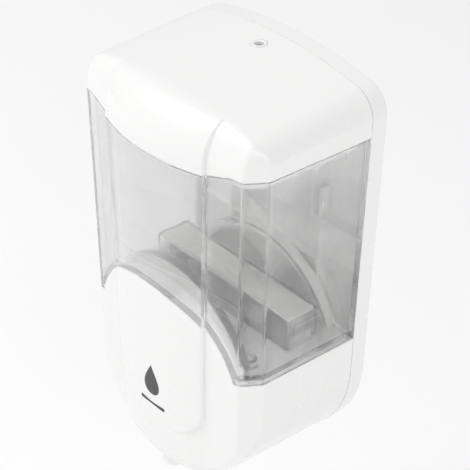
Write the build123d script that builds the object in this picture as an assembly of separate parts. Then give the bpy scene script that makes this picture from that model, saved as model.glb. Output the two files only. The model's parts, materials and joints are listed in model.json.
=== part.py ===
from build123d import *
import math
import os

# Wall mounted automatic soap dispenser, as an assembly of separate pieces.
#
# Frame: millimetres, +Z up, the wall is the plane y = 0 and the front faces -Y.
# The origin is the middle of the flat rear face. Most places are given as a
# depth, the distance in front of the wall, so that y = -depth.

# ---------------------------------------------------------------- housing
HALF_WIDTH = 59.6      # half the width where the lid, tank and back plate meet
CROWN_Z = 104.7        # highest point of the domed top
CROWN_RADIUS = 231.0   # the dome is a wide arc
TOP_CORNER = 14.0      # round corner between the dome and a side
LID_Z = 78.5           # lower edge of the lid
DECK_Z = -28.5         # lower edge of the tank
BOTTOM_Z = -48.5       # centre of the round bottom
DRAFT = 2.3 / 107.0    # every wall leans inwards by this much per millimetre down
SEAM = 9.0             # depth of the back plate
GAP = 0.3              # line between two shells
WALL = 2.5             # wall of a shell

SIDE_STEP = 0.6        # the side draws in this much from the seam to the corner
CORNER_DEPTH = 66.4    # where the side meets the slanted corner face
FRONT_X = 52.9         # where the slanted corner face meets the front
FRONT_DEPTH = 75.9
BAND_X = 33.0          # half the width of the raised middle band
BAND_FOOT = 79.0       # depth of the front beside the band
BAND_EDGE = 80.6       # depth of the band at its own edge
BAND_CREST = 86.4      # depth of the band in the middle
BAND_DROP = 4.0        # the lid reaches this much lower on the band
DROP_X = 47.0          # beside the band the lid's edge climbs back until here
CORNER_ROUND = 2.5

LID_SLOPE = 0.07       # the top falls towards the front
LID_ROUND = 21.0       # round edge between the top and the front
LID_ROUND_Z = 80.0     # height at which that round edge begins
BOTTOM_ROUND = 14.0    # round edge between the front and the bottom
BOTTOM_FLAT = 80.0     # depth at which that round edge ends
ARCH_Z = -44.0         # centre of the disc that rises in front of the tank
ARCH_RADIUS = 50.0
ARCH_BACK = 67.0       # depth of the pocket's back wall

# ---------------------------------------------------------------- tank
TANK_TOP = LID_Z - GAP
TANK_WALL = 2.5
FLOOR_Z = -23.5        # inner floor
FLOOR_THICK = 3.0
REAR_ARCH_RADIUS = 48.0
REAR_ARCH_DEPTH = 16.0
OUTLET_X = 5.0
OUTLET_DEPTH = 56.2
OUTLET_BORE = 3.0
SPIGOT_Z = DECK_Z - 3.5
TANK_SCREW = (42.0, 60.4)

# ---------------------------------------------------------------- batteries
CELL_RADIUS = 7.1
CELL_LENGTH = 50.5
CELL_PITCH = 14.75
CELL_COUNT = 6
CELL_DEPTH = 33.0
CELL_TOP = -12.0
TRAY_FLOOR = CELL_TOP - CELL_LENGTH - 2.0
TRAY_X = 44.9
TRAY_HALF = 7.7
SLEEVE_X = 45.4
SLEEVE_HALF = 8.1
SLEEVE_WALL = 1.4
POCKET_TOP = -9.5
DOOR_X = 46.5
DOOR_DEPTHS = (14.0, 42.0)

# ---------------------------------------------------------------- pump and gears
PUMP_Z = -60.0
PUMP_MIDDLE = OUTLET_X
PORT_DEPTH = OUTLET_DEPTH
PUMP_MODULE = 1.0
PUMP_TEETH = 12
PUMP_HALF = PUMP_MODULE * PUMP_TEETH / 2
DRIVE_X = PUMP_MIDDLE + PUMP_HALF
IDLER_X = PUMP_MIDDLE - PUMP_HALF
GEAR_MODULE = 0.6
PINION_TEETH = 10
WHEEL_TEETH = 34
SMALL_TEETH = 12
PUMP_WHEEL_TEETH = 30
COMPOUND_X = DRIVE_X + GEAR_MODULE * (PUMP_WHEEL_TEETH + SMALL_TEETH) / 2
MOTOR_X = COMPOUND_X + GEAR_MODULE * (WHEEL_TEETH + PINION_TEETH) / 2
MOTOR_RADIUS = 10.0
REAR_PLATE = (43.2, 44.8)
WHEEL_PLANE = (45.2, 47.0)
PUMP_WHEEL_PLANE = (47.3, 49.3)
FRONT_PLATE = (50.0, 52.0)
PUMP_GEARS = (52.7, 60.0)
PUMP_FRONT = 60.4
PUMP_COVER = 63.0
MOTOR_CAN = (52.2, 64.0)
MOTOR_CAP = 67.5
SHAFT_RADIUS = 1.5
MOTOR_SHAFT = 1.0
RUNNING = 0.05         # radial clearance of a shaft in its bore

# ---------------------------------------------------------------- nozzle, sensor, switch
NOZZLE_DEPTH = 70.0
NOZZLE_TIP = -106.5
NECK_Z = -100.5        # shoulder of the spout, under the cover's web
BOSS_Z = -98.4         # top of the boss inside the cover
WINDOW_DEPTH = 52.0
WINDOW_HALF_X = 10.0
WINDOW_HALF_Y = 4.0
SWITCH_X = 24.0
SWITCH_DEPTH = 56.0
SWITCH_TRAVEL = 4.0
SWITCH_HALF = 1.4      # half the knob's width
SWITCH_LONG = 5.0      # the knob's length along its travel
NUT_RADIUS = 6.2

# ---------------------------------------------------------------- circuit boards
BOARD_DEPTH = 56.0
BOARD_THICK = 1.6
BOARD_FACE = BOARD_DEPTH + BOARD_THICK
BOARD_X = (-46.0, -18.0)
BOARD_Z = (-70.0, -38.0)

# ---------------------------------------------------------------- lock and wall
KEY_DEPTH = 21.0
KEY_RING = 3.8
KEY_HOLE = 2.2
CATCH_TRAVEL = 2.5     # the catch slides this far to the rear
CATCH_Z = (89.0, 95.0)
CATCH_REAR = 6.0       # depth of the catch's rear end at rest
NOSE_DEPTHS = (12.9, 15.3)
HANG_X = 30.0
HANG_Z = 60.0
HANG_SLOT = 2.25       # half the slot of a keyhole, for a 4 mm screw
HANG_HEAD = 4.5
LOWER_SCREW_Z = -60.0
LOWER_SCREW_X = 38.0

os.makedirs("parts", exist_ok=True)


# ================================================================ helpers
def front(depth):
    """A sketch plane that many millimetres in front of the wall: local x is X, local y is Z."""
    return Plane.XZ.offset(depth)


def block(x, depth, z):
    """A box from the low and high value along each axis, the middle one as depths."""
    size = (x[1] - x[0], depth[1] - depth[0], z[1] - z[0])
    middle = ((x[0] + x[1]) / 2, -(depth[0] + depth[1]) / 2, (z[0] + z[1]) / 2)
    return Pos(*middle) * Box(*size)


def bar_y(x, z, radius, depth):
    """A round bar that points at the wall."""
    return extrude(front(depth[0]) * Pos(x, z) * Circle(radius), depth[1] - depth[0])


def bar_z(x, depth, radius, z):
    """An upright round bar."""
    return extrude(Plane.XY.offset(z[0]) * Pos(x, -depth) * Circle(radius), z[1] - z[0])


def draw_in(z):
    """How far the walls have leaned inwards at height z."""
    return DRAFT * (LID_Z - z)


def plan_outline(z, inset, rear):
    """The housing cut level at height z, moved inwards by inset."""
    lean = draw_in(z)
    side = HALF_WIDTH - lean - inset
    corner = (side - SIDE_STEP, -(CORNER_DEPTH - lean - 0.35 * inset))
    front_corner = (FRONT_X - lean - 0.75 * inset, -(FRONT_DEPTH - lean - 0.85 * inset))
    foot = (BAND_X - lean, -(BAND_FOOT - lean - inset))
    edge = (BAND_X - lean - 0.4 * inset, -(BAND_EDGE - lean - inset))
    crest = (0, -(BAND_CREST - lean - inset))
    right = Polyline((side, -rear), corner, front_corner, foot, edge)
    left = right.mirror(Plane.YZ)
    band = ThreePointArc(edge, crest, (-edge[0], edge[1]))
    back = Line((side, -rear), (-side, -rear))
    face = make_face(Curve() + right.edges() + left.edges() + band + back)
    soft = [v for v in face.vertices() if corner_like(v, corner) or corner_like(v, front_corner)]
    return Pos(0, 0, z) * fillet(soft, CORNER_ROUND)


def corner_like(vertex, point):
    """Whether a vertex is this point or its mirror image."""
    return abs(abs(vertex.X) - point[0]) < 0.01 and abs(vertex.Y - point[1]) < 0.01


def plan_solid(low, high, inset=0.0, rear=SEAM):
    """The housing between two heights, with its leaning walls."""
    return loft([plan_outline(low, inset, rear), plan_outline(high, inset, rear)], ruled=True)


def front_outline(inset=0.0):
    """The housing seen from the front: domed top, leaning sides, round bottom."""
    top = CROWN_Z - inset
    radius = CROWN_RADIUS - inset
    side_top = HALF_WIDTH - inset
    shoulder = top - radius + math.sqrt(radius**2 - side_top**2)
    bottom = HALF_WIDTH - draw_in(BOTTOM_Z) - inset
    dome = ThreePointArc((-side_top, shoulder), (0, top), (side_top, shoulder))
    right = Line((side_top, shoulder), (bottom, BOTTOM_Z))
    left = Line((-side_top, shoulder), (-bottom, BOTTOM_Z))
    bowl = ThreePointArc((-bottom, BOTTOM_Z), (0, BOTTOM_Z - bottom), (bottom, BOTTOM_Z))
    face = make_face(Curve() + dome + right + left + bowl)
    corners = face.vertices().group_by(Axis.Y)[-1]
    return fillet(corners, TOP_CORNER - inset)


def front_solid(near, far, inset=0.0):
    """The front outline between two depths."""
    return extrude(front(near) * front_outline(inset), far - near)


def disc_solid(radius, near, far):
    """A thick disc round the arch's centre."""
    return bar_y(0, ARCH_Z, radius, (near, far))


def ring_z(x, depth, outer, inner, z):
    """An upright ring."""
    return bar_z(x, depth, outer, z) - bar_z(x, depth, inner, z)


def gear(teeth, module, bore, depth, x, turn=0.0):
    """A spur gear on an axis along Y at the pump's height, with straight sided teeth."""
    pitch = module * teeth / 2
    root = pitch - 1.15 * module
    tip = pitch + 0.85 * module
    step = 2 * math.pi / teeth
    outline = []
    for tooth in range(teeth):
        middle = tooth * step + turn
        for radius, half in ((root, -0.30), (tip, -0.11), (tip, 0.11), (root, 0.30)):
            angle = middle + half * step
            outline.append((radius * math.cos(angle), radius * math.sin(angle)))
    face = Polyline(*outline, close=True)
    place = front(depth[0]) * Pos(x, PUMP_Z)
    solid = extrude(place * make_face(face), depth[1] - depth[0])
    return solid - bar_y(x, PUMP_Z, bore, depth) if bore else solid


def screw_y(x, z, head_depth, length, radius=1.4, sign=1):
    """A pan head screw along Y: the head's seat is at head_depth, the shank runs forward."""
    tip = head_depth + sign * length
    shank = bar_y(x, z, radius, sorted((head_depth, tip)))
    crown = head_depth - sign * 1.8
    head = bar_y(x, z, 2 * radius, sorted((crown, head_depth)))
    slot_far = crown + sign * 0.8
    slot = block((x - 2 * radius, x + 2 * radius), sorted((crown, slot_far)), (z - 0.4, z + 0.4))
    return head + shank - slot


def screw_z(x, depth, seat, length, radius=1.4):
    """A pan head screw that points down from its seat."""
    shank = bar_z(x, depth, radius, (seat - length, seat))
    head = bar_z(x, depth, 2 * radius, (seat, seat + 1.8))
    slot = block((x - 2 * radius, x + 2 * radius), (depth - 0.4, depth + 0.4), (seat + 1.0, seat + 1.8))
    return head + shank - slot


def tube(points, radius, bend, bore=0.0):
    """A tube along straight runs with round bends; points are (x, depth, z)."""
    path = FilletPolyline(*[(x, -depth, z) for x, depth, z in points], radius=bend)
    start = Plane(origin=path @ 0, z_dir=path % 0)
    section = Circle(radius) - Circle(bore) if bore else Circle(radius)
    return sweep(start * section, path)


def coil(x, depth, z, radius, wire, pitch, height):
    """A compression spring with an upright axis."""
    line = Pos(x, -depth, z) * Helix(pitch, height, radius)
    start = Plane(origin=line @ 0, z_dir=line % 0)
    return sweep(start * Circle(wire), line)


def keep(name, shape):
    """Writes a piece, or a group of alike pieces, to its own file."""
    group = shape if isinstance(shape, (list, tuple)) else [shape]
    export_step(Compound([solid for item in group for solid in item.solids()]), f"parts/{name}.step")


# ================================================================ back plate
def back_plate():
    """A shallow moulded tray that is screwed to the wall, with ribs on its front side."""
    plate = front_solid(0, SEAM)
    rim = plate.faces().sort_by(Axis.Y)[-1].edges()
    plate = chamfer(rim, 1.2)
    plate -= front_solid(WALL, SEAM + 1, WALL)
    for x in (-HANG_X, HANG_X):
        plate += block((x - 0.8, x + 0.8), (WALL - 0.5, 8.0), (-20, 40))
        plate += bar_y(x, HANG_Z + 3, 10.0, (WALL - 0.5, WALL + 1.5))
    for x in (-25.6, 24.4):
        plate += block((x, x + 1.2), (WALL - 0.5, 8.6), (24.0, 86.0))
    for x in (-57.0, 25.6):
        plate += block((x, x + 31.4), (WALL - 0.5, 8.6), (24.0, 25.2))
    for z in (-80.0, 0.0):
        plate += block((-50, 50), (WALL - 0.5, 7.0), (z, z + 1.2)) & front_solid(0, SEAM, 1.0)
    for x, z in cover_screw_places():
        plate += bar_y(x, z, 4.0, (0.5, SEAM - 0.2))
        plate -= bar_y(x, z, 1.7, (-1, SEAM + 1))
        plate -= bar_y(x, z, 3.2, (-1, 3.0))
    for x in (-HANG_X, HANG_X):
        slot = SlotCenterToCenter(8.0, 2 * HANG_SLOT, rotation=90)
        plate -= extrude(front(-1) * Pos(x, HANG_Z + 4) * slot, 6)
        plate -= bar_y(x, HANG_Z, HANG_HEAD, (-1, 5))
    for x in (-LOWER_SCREW_X, LOWER_SCREW_X):
        plate += bar_y(x, LOWER_SCREW_Z, 6.0, (0.5, 5.0))
        plate -= bar_y(x, LOWER_SCREW_Z, HANG_SLOT, (-1, 6))
    guide_end = NOSE_DEPTHS[0] - CATCH_TRAVEL - 0.4
    guide = block((-9, 9), (1.0, guide_end), (CATCH_Z[0] - 3, CATCH_Z[1] + 3))
    guide -= block((-6.3, 6.3), (WALL, guide_end + 1), (CATCH_Z[0] - GAP, CATCH_Z[1] + GAP))
    return plate + guide


def cover_screw_places():
    return [(x, z) for x in (-46.0, 46.0) for z in (-38.0, -66.0)]


# ================================================================ lid
def pull(z):
    """How far the lid's front has come back at height z, on its round edge."""
    rise = max(0.0, z - LID_ROUND_Z)
    return LID_ROUND - math.sqrt(LID_ROUND**2 - rise**2)


def drop_space(gap=0.0):
    """The space in front that the lid's lower edge dips into, a level stretch with two ramps."""
    low, high = LID_Z - BAND_DROP - gap, LID_Z + 1.0
    ramp_top = DROP_X + gap
    outline = Polyline((-ramp_top, high), (-ramp_top, LID_Z - gap), (-BAND_X - gap, low),
                       (BAND_X + gap, low), (ramp_top, LID_Z - gap), (ramp_top, high), close=True)
    return extrude(front(70) * make_face(outline), 25)


def lid_blank(inset=0.0):
    """The lid's outer form as a solid: domed, sloping forward and round at the front."""
    heights = [LID_Z, LID_ROUND_Z, 84, 87, 90, 92.5, 95, 97, 98.5, 99.7, 100.6]
    levels = [Pos(0, pull(z)) * plan_outline(z - inset, inset, -60) for z in heights]
    levels.append(Pos(0, LID_ROUND + 40) * plan_outline(CROWN_Z + 1, inset, -90))
    dome = front(SEAM + GAP) * front_outline(inset)
    return extrude(dome, amount=90, dir=(0, -1, -LID_SLOPE)) & loft(levels, ruled=True)


def lid_shell():
    """The lid with its lower band, its hollow and the lip that drops inside the tank."""
    shell = lid_blank() - lid_blank(WALL)
    low = LID_Z - BAND_DROP
    band = plan_solid(low, LID_Z + 1, 0) & drop_space()
    band -= plan_solid(low - 1, LID_Z + 2, WALL)
    shell += band & plan_solid(low, LID_Z + 1, 0)
    lip_outer = plan_solid(LID_Z - 5, LID_Z + 3, WALL + GAP + TANK_WALL, SEAM + WALL + 1.2)
    lip_inner = plan_solid(LID_Z - 6, LID_Z + 4, WALL + GAP + TANK_WALL + 1.4, SEAM + WALL + 2.6)
    web_outer = plan_solid(LID_Z + 1, LID_Z + 3, WALL - 0.3, SEAM + GAP)
    shell += (web_outer - lip_inner) + (lip_outer - lip_inner)
    shell -= block((-12, 12), (SEAM, NOSE_DEPTHS[1]), (LID_Z - 6, LID_Z + 4))
    keeper = NOSE_DEPTHS[1] + GAP
    for x in (-10.2, 7.2):
        shell += block((x, x + 3), (keeper, keeper + 2), (84, CROWN_Z)) & lid_blank(1.0)
    shell += bar_z(0, KEY_DEPTH, KEY_RING + 1.6, (97, 103.5)) & lid_blank(0.8)
    shell -= bar_z(0, KEY_DEPTH, KEY_RING, (90, 110))
    return shell


def lock_bush():
    """The ring in the lid that guides the key."""
    ring = ring_z(0, KEY_DEPTH, KEY_RING, KEY_HOLE, (97, 106))
    return ring & lid_blank()


# ================================================================ tank
def tank():
    """The clear tank: open top, arched pockets front and rear, battery pocket in its floor."""
    rear = SEAM + GAP + 0.2
    body = plan_solid(DECK_Z, TANK_TOP, 0, rear)
    body -= plan_solid(FLOOR_Z, TANK_TOP + 2, TANK_WALL, rear + TANK_WALL)
    body -= drop_space(GAP)
    room = plan_solid(DECK_Z, TANK_TOP, 0, rear)
    front_pocket = disc_solid(ARCH_RADIUS + TANK_WALL, ARCH_BACK - TANK_WALL, 95) & room
    rear_pocket = disc_solid(REAR_ARCH_RADIUS + TANK_WALL, rear, REAR_ARCH_DEPTH + TANK_WALL) & room
    bulge = battery_pocket(1.6)
    body += front_pocket + rear_pocket + bulge
    body -= disc_solid(ARCH_RADIUS, ARCH_BACK, 100)
    body -= disc_solid(REAR_ARCH_RADIUS, 0, REAR_ARCH_DEPTH)
    body -= battery_pocket(0)
    body -= plan_solid(DECK_Z - 1, FLOOR_Z - FLOOR_THICK, TANK_WALL, rear + TANK_WALL)
    body += bar_z(OUTLET_X, OUTLET_DEPTH, 6.5, (DECK_Z - 3.5, FLOOR_Z - 1))
    body -= bar_z(OUTLET_X, OUTLET_DEPTH, OUTLET_BORE, (DECK_Z - 5, FLOOR_Z + 1))
    body -= bar_z(OUTLET_X, OUTLET_DEPTH, 4.6, (FLOOR_Z - 1.5, FLOOR_Z + 1))
    for x in (-TANK_SCREW[0], TANK_SCREW[0]):
        body += bar_z(x, TANK_SCREW[1], 4.2, (DECK_Z, FLOOR_Z - 1))
        body -= bar_z(x, TANK_SCREW[1], 1.7, (DECK_Z - 2, FLOOR_Z + 1))
    return body


def battery_pocket(wall):
    """The hollow under the tank's floor that the tops of the cells stand in."""
    x = SLEEVE_X + wall
    half = SLEEVE_HALF + wall
    low = DECK_Z if wall else DECK_Z - 1
    form = block((-x, x), (CELL_DEPTH - half, CELL_DEPTH + half), (low, POCKET_TOP + wall))
    return fillet(form.edges().filter_by(Axis.Z), 1.0 + wall)


# ================================================================ lower cover
def bottom_bowl(inset=0.0):
    """A turned form that rounds the lower edge of the front."""
    wide = HALF_WIDTH - draw_in(BOTTOM_Z) - inset
    narrow = wide - 1.4
    start = BOTTOM_FLAT - inset - (BOTTOM_ROUND - inset)
    bend = BOTTOM_ROUND - inset
    mid = bend * math.sqrt(0.5)
    path = Polyline((0, 0), (wide, 0), (narrow, start))
    arc = ThreePointArc((narrow, start), (narrow - bend + mid, start + mid), (narrow - bend, start + bend))
    nose = Polyline((narrow - bend, start + bend), (0, BAND_CREST - inset), (0, 0))
    face = make_face(Curve() + path + arc + nose)
    turned = revolve(Plane.XY * face, Axis.Y)
    return Pos(0, 0, BOTTOM_Z) * turned.mirror(Plane.XZ)


def cover_blank(inset=0.0, rear=SEAM + GAP):
    """The lower cover as a solid: round bottom, leaning sides, a disc that rises at the front."""
    top = DECK_Z - GAP
    below = block((-70, 70), (0, 100), (-110, top))
    space = below + disc_solid(ARCH_RADIUS - 0.4 - inset, ARCH_BACK + 0.5, 95)
    limit = bottom_bowl(inset) + block((-70, 70), (-1, 100), (BOTTOM_Z, 20))
    return plan_solid(-107, 20, inset, rear) & front_solid(rear, 95, inset) & space & limit


def lower_cover():
    """The lower cover: a shell that is open to the rear, with openings in its underside."""
    shell = cover_blank() - cover_blank(WALL, SEAM - 1) - deck_gap()
    for x, z in cover_screw_places():
        out = sorted((x, x + math.copysign(12, x)))
        post = bar_y(x, z, 4.0, (SEAM + GAP, 23)) + block(out, (14, 23), (z - 1, z + 1))
        shell += post & cover_blank()
        shell -= bar_y(x, z, 1.3, (SEAM - 1, 22))
    shell -= door_block(GAP)
    shell += bar_z(0, NOZZLE_DEPTH, 8.8, (-110, BOSS_Z)) & cover_blank()
    shell -= bar_z(0, NOZZLE_DEPTH, 4.6, (-110, -90))
    shell -= bar_z(0, NOZZLE_DEPTH, 5.5, (-110, NECK_Z + 0.1))
    shell -= bar_z(0, NOZZLE_DEPTH, NUT_RADIUS + 0.2, (BOSS_Z, -90))
    shell -= window_form(0.2, -112, -96)
    slot = (SWITCH_DEPTH - 2, SWITCH_DEPTH - 1 + SWITCH_LONG + SWITCH_TRAVEL)
    shell -= block((SWITCH_X - SWITCH_HALF - 0.4, SWITCH_X + SWITCH_HALF + 0.4), slot, (-110, -92))
    return shell


def deck_gap():
    """Opens the top of the lower cover behind the disc, where the tank's underside sits."""
    top = plan_solid(DECK_Z - 4, DECK_Z + 1, WALL, SEAM - 1)
    return top & block((-70, 70), (0, ARCH_BACK + 0.5), (DECK_Z - 4, DECK_Z + 2))


def door_block(grow=0.0):
    """The space of the battery door in the underside."""
    depths = (DOOR_DEPTHS[0] - grow, DOOR_DEPTHS[1] + grow)
    return block((-DOOR_X - grow, DOOR_X + grow), depths, (-112, -72))


def window_form(grow, low, high):
    """An oblong column for the sensor's window."""
    slot = SlotOverall(2 * (WINDOW_HALF_X + grow), 2 * (WINDOW_HALF_Y + grow))
    return extrude(Plane.XY.offset(low) * Pos(0, -WINDOW_DEPTH) * slot, high - low)


# ================================================================ chassis
def chassis():
    """The deck under the tank, the battery sleeve, the rear wall and the rear arch, in one moulding."""
    inset = WALL + GAP
    deck = plan_solid(DECK_Z - 3, DECK_Z - GAP, inset, SEAM + GAP + 0.3)
    deck &= block((-70, 70), (0, ARCH_BACK - 0.6), (DECK_Z - 4, DECK_Z))
    rear = front_solid(SEAM + GAP + 0.3, SEAM + GAP + 2.3, inset)
    rear &= block((-70, 70), (0, 20), (-102, DECK_Z - 1))
    arch = disc_solid(REAR_ARCH_RADIUS - 0.5, SEAM + GAP + 0.3, REAR_ARCH_DEPTH - 0.5)
    arch -= disc_solid(REAR_ARCH_RADIUS - 2.5, SEAM + GAP + 2.3, REAR_ARCH_DEPTH)
    arch &= block((-70, 70), (0, 20), (DECK_Z - 2, 10))
    wide = SLEEVE_X + SLEEVE_WALL
    outer = block((-wide, wide), sleeve_depths(SLEEVE_WALL), (-66, DECK_Z - 1))
    shape = deck + rear + arch + outer
    for x in (-40.0, 40.0):
        shape += block((x - 1, x + 1), (SEAM + GAP + 1, CELL_DEPTH - SLEEVE_HALF - 0.5), (-60, DECK_Z - 1))
    shape -= block((-SLEEVE_X, SLEEVE_X), sleeve_depths(0), (-70, DECK_Z + 2))
    shape -= bar_z(OUTLET_X, OUTLET_DEPTH, 7.0, (DECK_Z - 5, DECK_Z + 1))
    for x in (-TANK_SCREW[0], TANK_SCREW[0]):
        shape += bar_z(x, TANK_SCREW[1], 3.6, (DECK_Z - 9, DECK_Z - 1))
        shape -= bar_z(x, TANK_SCREW[1], 1.4, (DECK_Z - 8, DECK_Z + 1))
    for x, z in board_posts():
        shape += bar_y(x, z, 2.4, (sleeve_depths(SLEEVE_WALL)[1] - 0.5, BOARD_DEPTH - 0.05))
        shape -= bar_y(x, z, 0.95, (BOARD_DEPTH - 8, BOARD_DEPTH + 1))
    for x, z in cover_screw_places():
        shape -= bar_y(x, z, 4.4, (0, 30)) & block((-70, 70), (0, 14), (-110, 0))
    return shape


def sleeve_depths(grow):
    return (CELL_DEPTH - SLEEVE_HALF - grow, CELL_DEPTH + SLEEVE_HALF + grow)


def board_posts():
    return [(-42.0, -42.0), (-22.0, -62.0)]


# ================================================================ batteries
def cell_places():
    return [CELL_PITCH * (i - (CELL_COUNT - 1) / 2) for i in range(CELL_COUNT)]


def battery_cells():
    """Round cells that stand in a row, each with its button at one end."""
    cells = []
    for number, x in enumerate(cell_places()):
        low, high = CELL_TOP - CELL_LENGTH, CELL_TOP
        can = bar_z(x, CELL_DEPTH, CELL_RADIUS, (low, high - 1.2))
        button = bar_z(x, CELL_DEPTH, 2.6, (high - 1.5, high))
        cell = can + button
        if number % 2:
            cell = cell.rotate(Axis((x, -CELL_DEPTH, (low + high) / 2), (0, 1, 0)), 180)
        cells.append(cell)
    return cells


def battery_tray():
    """The drawer's cradle: a floor, two end posts, ribs between the cells and legs to the door."""
    floor_top = TRAY_FLOOR
    depths = (CELL_DEPTH - TRAY_HALF, CELL_DEPTH + TRAY_HALF)
    tray = block((-TRAY_X, TRAY_X), depths, (floor_top - 1.6, floor_top))
    for x in (-TRAY_X, TRAY_X - 0.7):
        tray += block((x, x + 0.7), (CELL_DEPTH - 6, CELL_DEPTH + 6), (floor_top - 1, -20))
    cup = block((-TRAY_X, TRAY_X), depths, (floor_top - 1, floor_top + 9))
    for x in cell_places():
        cup -= bar_z(x, CELL_DEPTH, CELL_RADIUS + 0.15, (floor_top - 2, floor_top + 12))
    tray += cup
    for x in (-38.0, -14.0, 14.0, 38.0):
        leg = block((x - 1, x + 1), (CELL_DEPTH - 6, CELL_DEPTH + 6), (-110, floor_top - 1))
        tray += leg & cover_blank(WALL + 0.05)
    return tray


def battery_door():
    """The curved piece of the underside that closes the battery opening."""
    shell = cover_blank() - cover_blank(WALL, SEAM - 1)
    door = shell & door_block()
    lip = block((-8, 8), (DOOR_DEPTHS[0] + 6, DOOR_DEPTHS[0] + 7.2), (-104.5, -98))
    return door + (lip & cover_blank(WALL - 0.4))


def battery_springs():
    """A contact pad with a small coil spring under each cell."""
    base = TRAY_FLOOR
    parts = []
    for x in cell_places():
        pad = bar_z(x, CELL_DEPTH, 4.4, (base, base + 0.4))
        turns = coil(x, CELL_DEPTH, base + 0.5, 3.0, 0.3, 0.45, 0.9)
        parts += [pad, turns]
    return parts


def top_contacts():
    """Spring strips in the roof of the battery pocket, one for each pair of cells."""
    strips = []
    for number in range(0, CELL_COUNT, 2):
        left, right = cell_places()[number], cell_places()[number + 1]
        depths = (CELL_DEPTH - 3.5, CELL_DEPTH + 3.5)
        strips.append(block((left - 3.5, right + 3.5), depths, (POCKET_TOP - 1.9, POCKET_TOP - 1.3)))
    return strips


def contact_carrier():
    """The insulating plate that holds the upper contacts in the roof of the battery pocket."""
    depths = (CELL_DEPTH - 7.4, CELL_DEPTH + 7.4)
    plate = block((-44.5, 44.5), depths, (POCKET_TOP - 1.3, POCKET_TOP - 0.1))
    for x in (-2 * CELL_PITCH, 2 * CELL_PITCH):
        tail = (CELL_DEPTH - 8.0, CELL_DEPTH - 6.0)
        plate += block((x - 1.5, x + 1.5), tail, (DECK_Z - 8, POCKET_TOP - 1))
    return plate


# ================================================================ pump and gears
def pump_body():
    """The gear chamber with its inlet above, its outlet below, and the plate that carries the motor."""
    left, right = pump_sides()
    body = block((left, right), (FRONT_PLATE[0], PUMP_FRONT), (PUMP_Z - 11, PUMP_Z + 11))
    body += block((right - 3, MOTOR_X + 11), FRONT_PLATE, (PUMP_Z - 11, PUMP_Z + 11))
    body += bar_z(PUMP_MIDDLE, PORT_DEPTH, 3.6, (PUMP_Z - 14, PUMP_Z + 14))
    body += bar_z(PUMP_MIDDLE, PORT_DEPTH, 2.6, (PUMP_Z - 19, PUMP_Z + 19))
    for x in (IDLER_X, DRIVE_X):
        body -= bar_y(x, PUMP_Z, PUMP_HALF + 1.1, (52.4, PUMP_FRONT + 1))
    body -= bar_y(DRIVE_X, PUMP_Z, SHAFT_RADIUS + RUNNING, (49, PUMP_FRONT + 1))
    body -= bar_y(IDLER_X, PUMP_Z, SHAFT_RADIUS, (49, PUMP_FRONT + 1))
    body -= block((PUMP_MIDDLE - 3, PUMP_MIDDLE + 3), (52.4, PUMP_FRONT + 1), (PUMP_Z - 6, PUMP_Z + 6))
    body -= bar_z(PUMP_MIDDLE, PORT_DEPTH, 1.6, (PUMP_Z - 20, PUMP_Z + 20))
    body -= bar_y(MOTOR_X, PUMP_Z, 3.2, (49, 53))
    for x, z in pump_screw_places():
        body -= bar_y(x, z, 0.95, (FRONT_PLATE[1] + 1, PUMP_FRONT + 1))
    for x, z in plate_posts():
        body += bar_y(x, z, 2.6, (REAR_PLATE[1], FRONT_PLATE[0] + 0.5))
        body -= bar_y(x, z, 1.0, (REAR_PLATE[1] - 1, FRONT_PLATE[0] - 0.5))
    return body - bar_y(COMPOUND_X, PUMP_Z, SHAFT_RADIUS, (49, 51))


def pump_gear(bore, x, turn=0.0):
    """One of the two alike gears that carry the soap round the chamber."""
    return gear(PUMP_TEETH, PUMP_MODULE, bore, PUMP_GEARS, x, turn)


def pump_sides():
    return (PUMP_MIDDLE - 15, PUMP_MIDDLE + 15)


def pump_screw_places():
    return [(PUMP_MIDDLE + dx, PUMP_Z + dz) for dx in (-13.0, 13.0) for dz in (-9.0, 9.0)]


def plate_posts():
    return [(x, PUMP_Z + dz) for x in (PUMP_MIDDLE - 11, MOTOR_X + 8) for dz in (-8.0, 8.0)]


def gear_plate():
    """The rear plate that closes the gear space and fastens to the battery sleeve."""
    plate = block((PUMP_MIDDLE - 15, MOTOR_X + 11), REAR_PLATE, (PUMP_Z - 11, PUMP_Z + 11))
    for x, z in plate_posts():
        plate -= bar_y(x, z, 1.2, (40, 50))
    for x in (PUMP_MIDDLE - 9, MOTOR_X - 2):
        plate += block((x - 3, x + 3), REAR_PLATE, (PUMP_Z + 10, PUMP_Z + 26))
    plate -= bar_y(COMPOUND_X, PUMP_Z, SHAFT_RADIUS, (40, 50))
    return plate


def pump_cover():
    """The front cover of the gear chamber."""
    cover = block(pump_sides(), (PUMP_FRONT + 0.5, PUMP_COVER), (PUMP_Z - 11, PUMP_Z + 11))
    cover = fillet(cover.edges().filter_by(Axis.Y), 2.0)
    for x, z in pump_screw_places():
        cover -= bar_y(x, z, 1.1, (PUMP_FRONT - 1, PUMP_COVER + 1))
    return cover


def pump_gasket():
    """A thin gasket between the chamber and its cover."""
    left, right = pump_sides()
    sheet = block((left + 0.4, right - 0.4), (PUMP_FRONT, PUMP_FRONT + 0.5), (PUMP_Z - 10.6, PUMP_Z + 10.6))
    for x in (IDLER_X, DRIVE_X):
        sheet -= bar_y(x, PUMP_Z, PUMP_HALF + 1.5, (PUMP_FRONT - 1, PUMP_FRONT + 1))
    for x, z in pump_screw_places():
        sheet -= bar_y(x, z, 1.1, (PUMP_FRONT - 1, PUMP_FRONT + 1))
    return sheet


def pump_screws():
    return [screw_y(x, z, PUMP_COVER, 7.0, 0.95, -1) for x, z in pump_screw_places()]


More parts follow.
